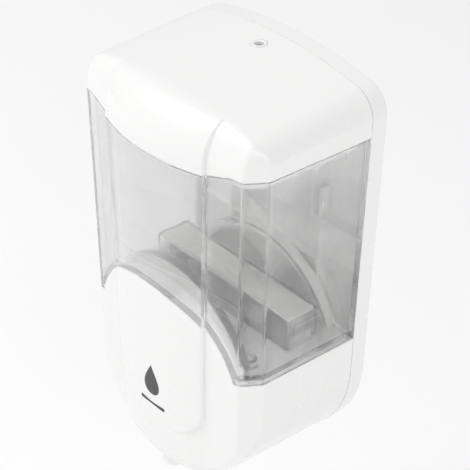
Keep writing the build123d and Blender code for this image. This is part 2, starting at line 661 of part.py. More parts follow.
def motor_can():
    can = bar_y(MOTOR_X, PUMP_Z, MOTOR_RADIUS, MOTOR_CAN)
    can += bar_y(MOTOR_X, PUMP_Z, 3.0, (FRONT_PLATE[0] + 0.4, MOTOR_CAN[0] + 0.5))
    flats = block((MOTOR_X - 11, MOTOR_X + 11), (50, 70), (PUMP_Z - 7.7, PUMP_Z + 7.7))
    can &= flats
    return can - bar_y(MOTOR_X, PUMP_Z, MOTOR_SHAFT + RUNNING, (50, 67))


def motor_cap():
    cap = bar_y(MOTOR_X, PUMP_Z, MOTOR_RADIUS - 0.4, (MOTOR_CAN[1], MOTOR_CAP))
    cap &= block((MOTOR_X - 11, MOTOR_X + 11), (60, 75), (PUMP_Z - 7.3, PUMP_Z + 7.3))
    return cap - bar_y(MOTOR_X, PUMP_Z, MOTOR_SHAFT + RUNNING, (64, MOTOR_CAP - 0.8))


def motor_terminals():
    tabs = []
    for x in (MOTOR_X - 6, MOTOR_X + 4):
        tabs.append(block((x, x + 2), (MOTOR_CAP, MOTOR_CAP + 1.2), (PUMP_Z - 1, PUMP_Z + 3)))
    return tabs


def reduction_gear():
    """One moulding with a large wheel and a small one, loose on a fixed pin."""
    bore = SHAFT_RADIUS + RUNNING
    wheel = gear(WHEEL_TEETH, GEAR_MODULE, bore, WHEEL_PLANE, COMPOUND_X)
    plane = (WHEEL_PLANE[1], PUMP_WHEEL_PLANE[1])
    small = gear(SMALL_TEETH, GEAR_MODULE, bore, plane, COMPOUND_X, math.pi / SMALL_TEETH)
    return wheel + small


# ================================================================ liquid path
def outlet_gasket():
    return ring_z(OUTLET_X, OUTLET_DEPTH, 8.6, 6.55, (DECK_Z - 4.4, DECK_Z - 3.05))


def outlet_strainer():
    """A small perforated cap in the floor of the tank."""
    cap = ring_z(OUTLET_X, OUTLET_DEPTH, 4.5, 3.4, (FLOOR_Z - 1.5, FLOOR_Z + 0.4))
    cap += bar_z(OUTLET_X, OUTLET_DEPTH, 4.5, (FLOOR_Z + 0.4, FLOOR_Z + 1.2))
    for step in range(6):
        angle = step * math.pi / 3
        x = OUTLET_X + 2.3 * math.cos(angle)
        depth = OUTLET_DEPTH + 2.3 * math.sin(angle)
        cap -= bar_z(x, depth, 0.6, (FLOOR_Z - 2, FLOOR_Z + 2))
    return cap - bar_z(OUTLET_X, OUTLET_DEPTH, 0.7, (FLOOR_Z - 2, FLOOR_Z + 2))


def outlet_spigot():
    """The barbed spigot under the tank that the inlet tube pushes onto."""
    flange = ring_z(OUTLET_X, OUTLET_DEPTH, 6.5, 1.6, (SPIGOT_Z - 1.5, SPIGOT_Z))
    return flange + ring_z(OUTLET_X, OUTLET_DEPTH, 2.6, 1.6, (SPIGOT_Z - 7, SPIGOT_Z - 1))


def inlet_tube():
    """A soft tube from the tank's spigot down to the pump's inlet."""
    return ring_z(OUTLET_X, OUTLET_DEPTH, 4.0, 2.65, (PUMP_Z + 14.3, SPIGOT_Z - 1.8))


def outlet_tube():
    """A soft tube from the pump's outlet, forward and down to the nozzle."""
    points = [(PUMP_MIDDLE, PORT_DEPTH, PUMP_Z - 14.3), (PUMP_MIDDLE, PORT_DEPTH, PUMP_Z - 23),
              (0, NOZZLE_DEPTH, -85.5), (0, NOZZLE_DEPTH, -94.9)]
    return tube(points, 4.0, 4.6, 2.65)


def nozzle():
    """The spout: a shoulder under the cover, a threaded neck through it and a barb above."""
    spout = bar_z(0, NOZZLE_DEPTH, 5.2, (NOZZLE_TIP, NECK_Z))
    spout += bar_z(0, NOZZLE_DEPTH, 4.4, (NECK_Z - 1, -95.2))
    spout += bar_z(0, NOZZLE_DEPTH, 2.6, (-96, -90.2))
    spout -= bar_z(0, NOZZLE_DEPTH, 1.6, (NOZZLE_TIP - 1, -88))
    return spout - bar_z(0, NOZZLE_DEPTH, 3.4, (NOZZLE_TIP - 1, NECK_Z - 0.7))


def nozzle_valve():
    """A rubber bill inside the spout that stops drips."""
    flange = bar_z(0, NOZZLE_DEPTH, 3.35, (NECK_Z - 2.1, NECK_Z - 0.75))
    bill = bar_z(0, NOZZLE_DEPTH, 2.2, (-105.8, NECK_Z - 1.5))
    bill &= block((-1.0, 1.0), (NOZZLE_DEPTH - 4, NOZZLE_DEPTH + 4), (-106, -100))
    slit = block((-0.15, 0.15), (NOZZLE_DEPTH - 1.6, NOZZLE_DEPTH + 1.6), (-107, -100))
    return flange + bill - slit


def nozzle_nut():
    """The nut that clamps the spout to the cover's inner boss."""
    hexagon = Pos(0, -NOZZLE_DEPTH) * RegularPolygon(NUT_RADIUS, 6)
    nut = extrude(Plane.XY.offset(BOSS_Z + 0.1) * hexagon, 2.6)
    return nut - bar_z(0, NOZZLE_DEPTH, 4.45, (BOSS_Z - 1, BOSS_Z + 4))


def hose_clips():
    """Clips round the tube ends."""
    places = [(OUTLET_X, OUTLET_DEPTH, SPIGOT_Z - 4.5), (PUMP_MIDDLE, PORT_DEPTH, PUMP_Z + 16.5),
              (PUMP_MIDDLE, PORT_DEPTH, PUMP_Z - 16.5), (0, NOZZLE_DEPTH, -92.8)]
    return [ring_z(x, depth, 4.9, 4.05, (z - 0.9, z + 0.9)) for x, depth, z in places]


# ================================================================ electronics
def circuit_board():
    board = block(BOARD_X, (BOARD_DEPTH, BOARD_FACE), BOARD_Z)
    for x, z in board_posts():
        board -= bar_y(x, z, 1.3, (50, 60))
    return board


def board_chips():
    """The control chip, the motor's driver and the socket for the sensor's lead."""
    control = block((-36, -28), (BOARD_FACE, BOARD_FACE + 1.6), (-58, -50))
    driver = block((-24.5, -20.5), (BOARD_FACE, BOARD_FACE + 1.4), (-52, -46))
    plug = block((-44, -34), (BOARD_FACE, BOARD_FACE + 5), (-68, -64))
    return [control, driver, plug]


def board_capacitor():
    """The can that smooths the motor's supply."""
    return bar_y(-27, -65.5, 3.1, (BOARD_FACE, BOARD_FACE + 9))


def board_screws():
    return [screw_y(x, z, BOARD_FACE, 6.0, 0.95, -1) for x, z in board_posts()]


def sensor_board():
    board = block((-13, 13), (45.0, 59.0), (-93.6, -92.0))
    for x in (-10.5, 10.5):
        board -= bar_z(x, WINDOW_DEPTH, 1.3, (-95, -90))
    return board


def sensor_holder():
    """The dark holder that keeps the light of the emitter out of the receiver."""
    holder = block((-9.0, 9.0), (48.4, 55.6), (-99.5, -93.7))
    for x in (-4.6, 4.6):
        holder -= bar_z(x, WINDOW_DEPTH, 2.6, (-101, -93))
    return holder - bar_z(0, WINDOW_DEPTH, 1.6, (-101, -93))


def sensor_lamp(x, radius):
    """A small round-ended component that looks down."""
    low = -98.6
    body = bar_z(x, WINDOW_DEPTH, radius, (low + radius, -93.7))
    tip = Pos(x, -WINDOW_DEPTH, low + radius) * Sphere(radius)
    return body + tip


def sensor_window():
    """The lens in the underside, following the round bottom."""
    lens = window_form(0, -112, -99.7) & cover_blank()
    flange = window_form(1.5, -112, -99.7) & cover_blank(WALL + 0.1)
    return lens + flange


def switch_body():
    """The switch's case, open below along the knob's travel."""
    case = block((SWITCH_X - 3.4, SWITCH_X + 3.4), (SWITCH_DEPTH - 3.6, SWITCH_DEPTH + 9.6), (-92.5, -88.5))
    half = SWITCH_HALF + 0.3
    slot = (SWITCH_DEPTH - 2, SWITCH_DEPTH - 1 + SWITCH_LONG + SWITCH_TRAVEL)
    return case - block((SWITCH_X - half, SWITCH_X + half), slot, (-93, -90.4))


def switch_slider():
    """The knob that a fingernail pushes along the slot in the underside."""
    rear = SWITCH_DEPTH - 1.6
    sides = (SWITCH_X - SWITCH_HALF, SWITCH_X + SWITCH_HALF)
    return block(sides, (rear, rear + SWITCH_LONG), (-99.8, -90.8))


# ================================================================ lid catch
def lid_catch():
    """A sprung bar on the back plate; the key pushes its ramp and the bar slides to the rear."""
    bar = block((-6, 6), (CATCH_REAR, 25.0), CATCH_Z)
    bar -= block((-4.4, 4.4), (2.0, 14.0), (CATCH_Z[0] + 1.2, CATCH_Z[1] - 1.2))
    nose = block((-10.5, 10.5), NOSE_DEPTHS, (CATCH_Z[0], CATCH_Z[0] + 3))
    ramp = block((-4, 4), (18.0, 25.5), (88, 96)) & Pos(0, -25, 86.5) * Rot(45, 0, 0) * Box(10, 14, 14)
    return bar + nose + ramp


def catch_spring():
    line = Plane(origin=(0, -(WALL + 0.2), 92.0), z_dir=(0, -1, 0)) * Helix(1.35, 10.4, 1.3)
    start = Plane(origin=line @ 0, z_dir=line % 0)
    return sweep(start * Circle(0.22), line)


# ================================================================ assembly
def tank_screws():
    return [screw_z(x, TANK_SCREW[1], FLOOR_Z + 0.8, 10.0) for x in (-TANK_SCREW[0], TANK_SCREW[0])]


def screw_washers():
    places = (-TANK_SCREW[0], TANK_SCREW[0])
    return [ring_z(x, TANK_SCREW[1], 3.4, 1.5, (FLOOR_Z, FLOOR_Z + 0.8)) for x in places]


def cover_screws():
    return [screw_y(x, z, 3.0, 16.0, 1.3) for x, z in cover_screw_places()]


def wires():
    """Insulated leads: motor to board, sensor board to plug, battery contacts to board."""
    face = BOARD_FACE
    motor_route = [(MOTOR_X - 4, MOTOR_CAP + 0.6, PUMP_Z + 3.8), (MOTOR_X - 4, MOTOR_CAP + 0.6, -42),
                   (-33, face + 4, -42), (-33, face + 0.1, -42)]
    sensor_route = [(-8, 50, -91.3), (-8, 50, -84), (-39, face + 2.4, -79), (-39, face + 2.4, -68.7)]
    battery_route = [(-34, 42.6, -46), (-34, 49, -46), (-34, 49, -51), (-34, BOARD_DEPTH - 0.1, -51)]
    bundle = leads(motor_route, 2, 0.6, 1.4)
    bundle += leads(sensor_route, 3, 0.5, 3.0)
    return bundle + leads(battery_route, 2, 0.6, 1.5)


def leads(points, count, radius, bend):
    """Wires side by side along one route, spaced across the housing."""
    wires = []
    for number in range(count):
        shift = 2.2 * radius * (number - (count - 1) / 2)
        wires.append(tube([(x + shift, depth, z) for x, depth, z in points], radius, bend))
    return wires


keep("back_plate", back_plate())
keep("chassis", chassis())
keep("lower_cover", lower_cover())
keep("tank", tank())
keep("tank_screws", tank_screws())
keep("screw_washers", screw_washers())
keep("cover_screws", cover_screws())
keep("outlet_gasket", outlet_gasket())
keep("outlet_strainer", outlet_strainer())
keep("outlet_spigot", outlet_spigot())
keep("inlet_tube", inlet_tube())
keep("pump_body", pump_body())
keep("pump_gasket", pump_gasket())
keep("pump_cover", pump_cover())
keep("pump_screws", pump_screws())
keep("gear_plate", gear_plate())
keep("gear_pin", bar_y(COMPOUND_X, PUMP_Z, SHAFT_RADIUS, (REAR_PLATE[0], 51.0)))
keep("idler_pin", bar_y(IDLER_X, PUMP_Z, SHAFT_RADIUS, (50.0, PUMP_FRONT)))
keep("motor_can", motor_can())
keep("motor_cap", motor_cap())
keep("motor_terminals", motor_terminals())
keep("outlet_tube", outlet_tube())
keep("hose_clips", hose_clips())
keep("nozzle", nozzle())
keep("nozzle_valve", nozzle_valve())
keep("nozzle_nut", nozzle_nut())
keep("circuit_board", circuit_board())
keep("board_chips", board_chips())
keep("board_capacitor", board_capacitor())
keep("board_screws", board_screws())
keep("sensor_board", sensor_board())
keep("sensor_holder", sensor_holder())
keep("ir_emitter", sensor_lamp(-4.6, 2.5))
keep("ir_receiver", sensor_lamp(4.6, 2.5))
keep("status_lamp", sensor_lamp(0, 1.5))
keep("sensor_window", sensor_window())
keep("switch_body", switch_body())
keep("contact_carrier", contact_carrier())
keep("top_contacts", top_contacts())
keep("wires", wires())
keep("catch_spring", catch_spring())

keep("lid", lid_shell())
keep("lock_bush", lock_bush())
keep("lid_catch", lid_catch())
keep("motor_shaft", bar_y(MOTOR_X, PUMP_Z, MOTOR_SHAFT, (WHEEL_PLANE[0], MOTOR_CAP - 1.0)))
keep("motor_pinion", gear(PINION_TEETH, GEAR_MODULE, 1.0, WHEEL_PLANE, MOTOR_X, math.pi / PINION_TEETH))
keep("reduction_gear", reduction_gear())
keep("pump_shaft", bar_y(DRIVE_X, PUMP_Z, SHAFT_RADIUS, (PUMP_WHEEL_PLANE[0], PUMP_FRONT - 0.1)))
keep("pump_wheel", gear(PUMP_WHEEL_TEETH, GEAR_MODULE, SHAFT_RADIUS, PUMP_WHEEL_PLANE, DRIVE_X))
keep("pump_drive_gear", pump_gear(SHAFT_RADIUS, DRIVE_X))
keep("pump_idler_gear", pump_gear(SHAFT_RADIUS + RUNNING, IDLER_X, math.pi / PUMP_TEETH))
keep("switch_slider", switch_slider())
keep("battery_door", battery_door())
keep("battery_tray", battery_tray())
keep("battery_cells", battery_cells())
keep("battery_springs", battery_springs())
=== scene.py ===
"""A wall mounted automatic soap dispenser: white domed lid, clear tank, round white lower cover.

Lengths inside this script are millimetres and become metres when a mesh is written. A place is
(x, depth, z): depth is the distance in front of the wall, so that a point's Y is minus its depth.
"""
import json
import math

import bmesh
import bpy
import numpy as np
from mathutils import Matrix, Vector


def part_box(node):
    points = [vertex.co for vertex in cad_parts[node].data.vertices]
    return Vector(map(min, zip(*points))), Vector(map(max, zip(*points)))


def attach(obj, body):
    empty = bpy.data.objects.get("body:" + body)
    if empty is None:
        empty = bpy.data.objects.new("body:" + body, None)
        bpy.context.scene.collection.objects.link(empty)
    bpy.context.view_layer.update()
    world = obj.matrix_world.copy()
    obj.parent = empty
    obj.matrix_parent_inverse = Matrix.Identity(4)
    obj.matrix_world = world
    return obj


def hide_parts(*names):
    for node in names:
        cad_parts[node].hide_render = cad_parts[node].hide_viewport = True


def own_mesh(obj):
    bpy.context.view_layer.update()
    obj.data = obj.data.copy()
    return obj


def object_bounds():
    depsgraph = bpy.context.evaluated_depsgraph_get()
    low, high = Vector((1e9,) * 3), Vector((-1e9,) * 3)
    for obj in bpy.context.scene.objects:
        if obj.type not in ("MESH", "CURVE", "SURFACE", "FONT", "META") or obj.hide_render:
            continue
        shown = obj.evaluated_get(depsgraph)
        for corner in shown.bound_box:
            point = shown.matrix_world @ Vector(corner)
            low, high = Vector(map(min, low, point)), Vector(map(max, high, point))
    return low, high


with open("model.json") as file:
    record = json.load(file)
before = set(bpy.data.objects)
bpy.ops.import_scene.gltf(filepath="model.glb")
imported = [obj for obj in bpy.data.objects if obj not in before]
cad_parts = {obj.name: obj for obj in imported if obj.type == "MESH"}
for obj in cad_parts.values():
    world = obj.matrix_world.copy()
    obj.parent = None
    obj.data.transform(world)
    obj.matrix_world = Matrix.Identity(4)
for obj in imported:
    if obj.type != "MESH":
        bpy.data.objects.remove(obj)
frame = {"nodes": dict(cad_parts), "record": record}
cad_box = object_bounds()
MM = 0.001


# ------------------------------------------------------------------ sizes read from the frame
def reach(node):
    """(lowest x, depth, z), (highest x, depth, z) of a node in millimetres."""
    low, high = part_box(node)
    return (np.array((low.x, -high.y, low.z)) / MM, np.array((high.x, -low.y, high.z)) / MM)


tank_low, tank_high = reach("tank")
door_low, door_high = reach("battery_door")
bush_low, bush_high = reach("lock_bush")
nozzle_low, nozzle_high = reach("nozzle")
bush_middle = ((bush_low[0] + bush_high[0]) / 2, (bush_low[1] + bush_high[1]) / 2)

GAP = 0.3
WALL = 2.5
LID_Z = tank_high[2] + GAP           # seam between the lid and the tank
SEAM = reach("lid")[0][1]            # depth of the seam at the back plate
SEAM_PLATE = SEAM - GAP
CROWN_Z = reach("back_plate")[1][2]
HALF_WIDTH = tank_high[0]


# ------------------------------------------------------------------ shader expressions
class Value:
    """A socket or a number in a material, so that an expression on values adds its Math nodes."""

    def __init__(self, graph, socket):
        self.graph = graph
        self.socket = socket

    def math(self, operation, *others):
        return self.graph.node("ShaderNodeMath", {"operation": operation}, [self, *others])

    def __add__(self, other):
        return self.math("ADD", other)

    def __radd__(self, other):
        return self.math("ADD", other)

    def __sub__(self, other):
        return self.math("SUBTRACT", other)

    def __rsub__(self, other):
        return self.graph.node("ShaderNodeMath", {"operation": "SUBTRACT"}, [other, self])

    def __mul__(self, other):
        return self.math("MULTIPLY", other)

    def __rmul__(self, other):
        return self.math("MULTIPLY", other)


class Graph:
    """One material's nodes."""

    def __init__(self, name):
        self.material = bpy.data.materials.new(name)
        self.material.use_nodes = True
        self.tree = self.material.node_tree
        self.shader = self.tree.nodes["Principled BSDF"]
        self.place = self.node("ShaderNodeTexCoord", {}, {}, "Object")

    def node(self, kind, settings, inputs, output=0):
        """Adds a node: settings first, then values or links of its sockets; returns one output."""
        made = self.tree.nodes.new(kind)
        for key, value in settings.items():
            setattr(made, key, value)
        named = inputs.items() if isinstance(inputs, dict) else enumerate(inputs)
        for key, value in named:
            if isinstance(value, Value):
                self.tree.links.new(value.socket, made.inputs[key])
            else:
                made.inputs[key].default_value = value
        return Value(self, made.outputs[output])

    def noise(self, scale, detail=2.0, stretch=(1.0, 1.0, 1.0)):
        """Noise with features of about 1 / scale metres, drawn out along an axis by stretch."""
        place = self.node("ShaderNodeMapping", {}, {"Vector": self.place, "Scale": stretch})
        return self.node("ShaderNodeTexNoise", {}, {"Vector": place, "Scale": scale, "Detail": detail})

    def bump(self, height, distance, strength=0.5):
        return self.node(
            "ShaderNodeBump", {}, {"Height": height, "Distance": distance, "Strength": strength})

    def blend(self, mask, low, high):
        """A colour that goes from low to high as the mask goes from 0 to 1."""
        return self.node("ShaderNodeMix", {"data_type": "RGBA"}, {0: mask, 6: low, 7: high}, 2)

    def set(self, **sockets):
        """Values or links of the shader's sockets; an underscore stands for a space."""
        for name, value in sockets.items():
            socket = self.shader.inputs[name.replace("_", " ")]
            if isinstance(value, Value):
                self.tree.links.new(value.socket, socket)
            else:
                socket.default_value = value
        return self.material


def rgb(red, green=None, blue=None):
    """An opaque colour; one number gives a grey."""
    return (red, red if green is None else green, red if blue is None else blue, 1.0)


# ------------------------------------------------------------------ materials
def moulded(name, colour, roughness, grain=0.00001, coat=0.0):
    """Moulded plastic: a faint unevenness of gloss and colour over a very fine grain."""
    g = Graph(name)
    cloud = g.noise(38.0, 3.0)
    grain_height = g.noise(2600.0, 2.0)
    darker = tuple(0.992 * c for c in colour[:3]) + (1.0,)
    return g.set(
        Base_Color=g.blend(cloud, darker, colour), Roughness=cloud * 0.08 + (roughness - 0.04),
        Normal=g.bump(grain_height, grain, 0.35), Coat_Weight=coat, Coat_Roughness=0.08, IOR=1.5)


ALWAYS_STRAIGHT = 0.25               # share of every ray that clear plastic doesn't bend


def clear_plastic(name, tint):
    """Clear moulded plastic with slow flow waves in its surface. It bends what is seen through it,
    and lets the light of the room pass straight through to what stands behind."""
    g = Graph(name)
    waves = g.noise(22.0, 1.0, (1.0, 1.0, 0.35))
    g.set(Base_Color=tint, Roughness=waves * 0.02, Transmission_Weight=1.0, IOR=1.49,
          Normal=g.bump(waves, 0.00005, 0.2))
    shadow = g.node("ShaderNodeLightPath", {}, {}, "Is Shadow Ray")
    diffuse = g.node("ShaderNodeLightPath", {}, {}, "Is Diffuse Ray")
    open_way = g.node("ShaderNodeBsdfTransparent", {}, {"Color": rgb(1.0)})
    glass = Value(g, g.shader.outputs[0])
    straight = shadow.math("MAXIMUM", diffuse) * (1 - ALWAYS_STRAIGHT) + ALWAYS_STRAIGHT
    lit = g.node("ShaderNodeMixShader", {}, [straight, glass, open_way])
    g.tree.links.new(lit.socket, g.tree.nodes["Material Output"].inputs["Surface"])
    return g.material


def metal(name, colour, roughness, stretch=(1.0, 1.0, 1.0)):
    """Metal with fine drawn lines along the stretched axis."""
    g = Graph(name)
    lines = g.noise(900.0, 3.0, stretch)
    darker = tuple(0.8 * c for c in colour[:3]) + (1.0,)
    return g.set(
        Base_Color=g.blend(lines, darker, colour), Metallic=1.0,
        Roughness=lines * 0.16 + (roughness - 0.06), Normal=g.bump(lines, 0.00002, 0.3))


def soft(name, colour, roughness):
    """Rubber and soft tube: matt, with a fine even grain."""
    g = Graph(name)
    grain = g.noise(1500.0, 3.0)
    lighter = tuple(min(1.0, 1.15 * c + 0.01) for c in colour[:3]) + (1.0,)
    return g.set(
        Base_Color=g.blend(grain, colour, lighter), Roughness=grain * 0.15 + (roughness - 0.07),
        Normal=g.bump(grain, 0.00004, 0.4))


finish = {
    "white_shell": moulded("white_shell", rgb(0.88, 0.88, 0.875), 0.27, coat=0.35),
    "clear_tank": clear_plastic("clear_tank", rgb(0.985)),
    "chassis_plastic": moulded("chassis_plastic", rgb(0.80, 0.80, 0.79), 0.45),
    "grey_plastic": moulded("grey_plastic", rgb(0.50, 0.505, 0.51), 0.42),
    "natural_plastic": moulded("natural_plastic", rgb(0.66, 0.66, 0.645), 0.38),
    "dark_plastic": moulded("dark_plastic", rgb(0.02, 0.02, 0.022), 0.38),
    "window_plastic": moulded("window_plastic", rgb(0.03, 0.008, 0.012), 0.1, coat=0.6),
    "steel": metal("steel", rgb(0.62, 0.62, 0.63), 0.3),
    "zinc_screw": metal("zinc_screw", rgb(0.68, 0.68, 0.70), 0.24),
    "motor_steel": metal("motor_steel", rgb(0.55, 0.56, 0.58), 0.32, (1.0, 0.05, 1.0)),
    "brass_gear": metal("brass_gear", rgb(0.78, 0.58, 0.25), 0.3),
    "soft_tube": soft("soft_tube", rgb(0.74, 0.74, 0.71), 0.42),
    "black_rubber": soft("black_rubber", rgb(0.02, 0.02, 0.02), 0.62),
    "board_green": moulded("board_green", rgb(0.03, 0.20, 0.09), 0.35),
    "chip_black": moulded("chip_black", rgb(0.02, 0.02, 0.022), 0.55),
    "clear_lens": clear_plastic("clear_lens", rgb(0.80, 0.86, 0.93)),
    "battery_wrap": moulded("battery_wrap", rgb(0.36, 0.365, 0.375), 0.25, coat=0.4),
    "wire_jacket": soft("wire_jacket", rgb(0.42, 0.05, 0.045), 0.45),
}
slot_of = {part["node"]: part["material_slot"] for part in frame["record"]["subparts"]}


# ------------------------------------------------------------------ the housing's form
DRAFT = 2.3 / 107.0                  # every wall leans inwards by this much per millimetre down
SIDE_STEP = 0.6
CORNER = (HALF_WIDTH - SIDE_STEP, 66.4)
FRONT_CORNER = (52.9, 75.9)
CORNER_ROUND = 3.0
BAND_X, BAND_FOOT, BAND_EDGE, BAND_CREST = 33.0, 79.0, 80.6, 86.4
BAND_SAG = BAND_CREST - BAND_EDGE    # fall of the raised band from its crest to its edge
BAND_DROP, DROP_X = 4.0, 47.0        # the lid's edge dips on the band and climbs back beside it
BAND_END, BAND_CORNER = -73.0, 18.0
SPREAD = 1.2                         # the soft roundness where two faces of the lid melt together
BOWL_Z = -48.5                       # centre of the round bottom
BOWL_FRONT, BOWL_ROUND = 66.0, 14.0


def lean(z):
    """How far the walls have leaned inwards at height z: the draft times the drop from the lid."""
    return DRAFT * (LID_Z - z)


def soft_min(a, b, spread):
    """The lower of two heights, with a parabola of that spread where they cross."""
    near = np.maximum(spread - np.abs(a - b), 0.0) / spread
    return np.minimum(a, b) - near * near * spread / 4


def rounded(points, radius, steps=11):
    """A line through the points whose inner corners are arcs: the centre of each arc lies on the
    bisector, radius / sin(half the corner's angle) from the corner."""
    line = [np.array(points[0], float)]
    for before, corner, after in zip(points, points[1:], points[2:]):
        corner = np.array(corner, float)
        a = np.array(before, float) - corner
        b = np.array(after, float) - corner
        a /= np.linalg.norm(a)
        b /= np.linalg.norm(b)
        half = math.acos(float(a @ b)) / 2
        bisector = (a + b) / np.linalg.norm(a + b)
        centre = corner + bisector * radius / math.sin(half)
        start = corner + a * radius / math.tan(half) - centre
        end = corner + b * radius / math.tan(half) - centre
        for step in np.linspace(0.0, 1.0, steps):
            way = start * (1 - step) + end * step
            line.append(centre + way / np.linalg.norm(way) * radius)
    line.append(np.array(points[-1], float))
    return np.array(line)


def flank(inset, rear):
    """The right flank of the housing cut level at the lid, from the seam to the foot of the band."""
    side = HALF_WIDTH - inset
    return rounded([(side, rear), (side - SIDE_STEP, CORNER[1] - 0.35 * inset),
                    (FRONT_CORNER[0] - 0.75 * inset, FRONT_CORNER[1] - 0.85 * inset),
                    (BAND_X, BAND_FOOT - inset)], max(CORNER_ROUND - inset, 0.6))


def spaced(line, shares):
    """The line sampled at shares of its length."""
    length = np.concatenate([[0.0], np.cumsum(np.linalg.norm(np.diff(line, axis=0), axis=1))])
    length /= length[-1]
    return np.stack([np.interp(shares, length, line[:, i]) for i in range(line.shape[1])], axis=1)


def band_depth(x, z, inset, sag):
    """The middle of the front: a parabola that falls by the sag from its crest to the band's edge."""
    wide = BAND_X - lean(z)
    return BAND_CREST - inset - lean(z) - sag * (x / wide) ** 2


def band_line(start, count, z, inset):
    """Points (x, depth) of the raised band at height z, from x = start to its crest."""
    x = np.linspace(start, 0.0, count)
    return np.column_stack([x, band_depth(x, z, inset, BAND_SAG)])


def mirrored(half):
    """A right half that ends on the middle plane, followed by its mirror image."""
    return np.concatenate([half, half[-2::-1] * (-1, 1)])


def flush_depth(x, z, inset, line):
    """The front without its raised band: a parabola in the middle and the flank beside it."""
    outside = np.interp(np.abs(x) + lean(z), line[::-1, 0], line[::-1, 1]) - lean(z)
    inside = band_depth(x, z, inset, BAND_CREST - BAND_FOOT)
    return np.where(np.abs(x) < BAND_X - lean(z), inside, outside)


# ------------------------------------------------------------------ grids
def closed_mesh(name, points, faces, merge=0.002):
    """A mesh from points in (x, depth, z) millimetres, doubles merged and faces outward."""
    mesh = bpy.data.meshes.new(name)
    place = np.asarray(points, float).reshape(-1, 3) * (MM, -MM, MM)
    mesh.from_pydata(place.tolist(), [], [list(map(int, face)) for face in faces])
    work = bmesh.new()
    work.from_mesh(mesh)
    bmesh.ops.remove_doubles(work, verts=work.verts, dist=merge * MM)
    bmesh.ops.dissolve_degenerate(work, edges=work.edges, dist=0.5 * merge * MM)
    bmesh.ops.recalc_face_normals(work, faces=work.faces)
    work.to_mesh(mesh)
    work.free()
    return mesh


def grid_faces(rows, columns, start=0, wrap=False):
    """Quads between neighbouring rows and columns of points that are stored row by row."""
    across = columns if wrap else columns - 1
    row, column = np.divmod(np.arange((rows - 1) * across), across)
    beside = (column + 1) % columns
    first = start + row * columns
    above = first + columns
    return np.stack([first + column, first + beside, above + beside, above + column], axis=1)


def level(outline, z):
    """An outline of (x, depth) points at height z."""
    return np.column_stack([outline, np.full(len(outline), z)])


def facing(outline, depth):
    """An outline of (x, z) points at that depth."""
    outline = np.asarray(outline, float)
    return np.column_stack([outline[:, 0], np.full(len(outline), depth), outline[:, 1]])


def stacked(name, loops):
    """A closed mesh from a stack of closed loops with equal counts and a cap at each end."""
    count = len(loops[0])
    last = (len(loops) - 1) * count
    caps = [range(count), range(last + count - 1, last - 1, -1)]
    return closed_mesh(name, np.concatenate(loops), [*grid_faces(len(loops), count, wrap=True), *caps])


def combined(mesh, other, operation):
    """The mesh joined with, cut by or limited to another closed mesh."""
    hosts = []
    for name, data in (("host", mesh), ("tool", other)):
        thing = bpy.data.objects.new(name, data)
        bpy.context.scene.collection.objects.link(thing)
        hosts.append(thing)
    step = hosts[0].modifiers.new("step", "BOOLEAN")
    step.operation = operation
    step.solver = "MANIFOLD"
    step.object = hosts[1]
    bpy.context.view_layer.update()
    evaluated = hosts[0].evaluated_get(bpy.context.evaluated_depsgraph_get())
    result = bpy.data.meshes.new_from_object(evaluated)
    for thing in hosts:
        bpy.data.objects.remove(thing)
    if not result.polygons:
        raise ValueError(f"{operation} left nothing of {mesh.name}")
    result.name = mesh.name
    return result


def changed(mesh, others, operation):
    """The mesh joined with or cut by several closed meshes, one after another."""
    for other in others:
        mesh = combined(mesh, other, operation)
    return mesh


def prism(name, outline, near, far):
    """A closed prism along the depth from an outline of (x, z) points."""
    return stacked(name, [facing(outline, near), facing(outline, far)])


def upright(name, outline, low, high):
    """A closed upright column from an outline of (x, depth) points."""
    return stacked(name, [level(outline, low), level(outline, high)])


def ring_points(radius, centre=(0.0, 0.0), count=72):
    """Points of a circle, counterclockwise from its right."""
    turn = np.linspace(0, 2 * math.pi, count, endpoint=False)
    return np.column_stack([centre[0] + radius * np.cos(turn), centre[1] + radius * np.sin(turn)])


def oblong(half_long, radius, centre, count=24):
    """An outline with straight sides and round ends, along x."""
    turn = np.linspace(-math.pi / 2, math.pi / 2, count)
    right = np.column_stack([half_long - radius + radius * np.cos(turn), radius * np.sin(turn)])
    return np.concatenate([right, -right]) + centre


def rectangle(x, y):
    """Corners of a rectangle between two x and two y."""
    return [(x[0], y[0]), (x[1], y[0]), (x[1], y[1]), (x[0], y[1])]


# ------------------------------------------------------------------ lid
LID_SLOPE = 0.07                     # fall of the top towards the front
LID_RISE = 0.124                     # rise of the round front edge's own line behind its arc
LID_ROUND, LID_ROUND_Z = 21.0, 80.0
TOP_CORNER = 14.0
CROWN_RADIUS = 231.0
RIM = ((0.0, 0.5), (0.05, 0.2), (0.2, 0.05), (0.5, 0.0))     # (inward, up) over the lower edge
SHOULDER_SPREAD = 9.0
BORE_PLAY = 0.06
FINE_MERGE = 0.00004                 # keeps the narrow columns at the band's step apart


def dome_height(x, depth, inset):
    """Height of the top: a wide arc across, a round shoulder at each side, falling to the front."""
    radius, corner = CROWN_RADIUS - inset, TOP_CORNER - inset
    middle = CROWN_Z - CROWN_RADIUS
    shoulder_x = HALF_WIDTH - TOP_CORNER
    shoulder_z = middle + math.sqrt((CROWN_RADIUS - TOP_CORNER) ** 2 - shoulder_x**2)
    tangent_x = shoulder_x * radius / (CROWN_RADIUS - TOP_CORNER)
    beyond = np.clip(np.abs(x) - shoulder_x, 0.0, corner)
    dome = middle + np.sqrt(radius**2 - np.clip(x, -tangent_x, tangent_x) ** 2)
    shoulder = shoulder_z + np.sqrt(np.maximum(corner**2 - beyond**2, 0.0))
    return np.where(np.abs(x) > tangent_x, shoulder, dome) - LID_SLOPE * (depth - SEAM)


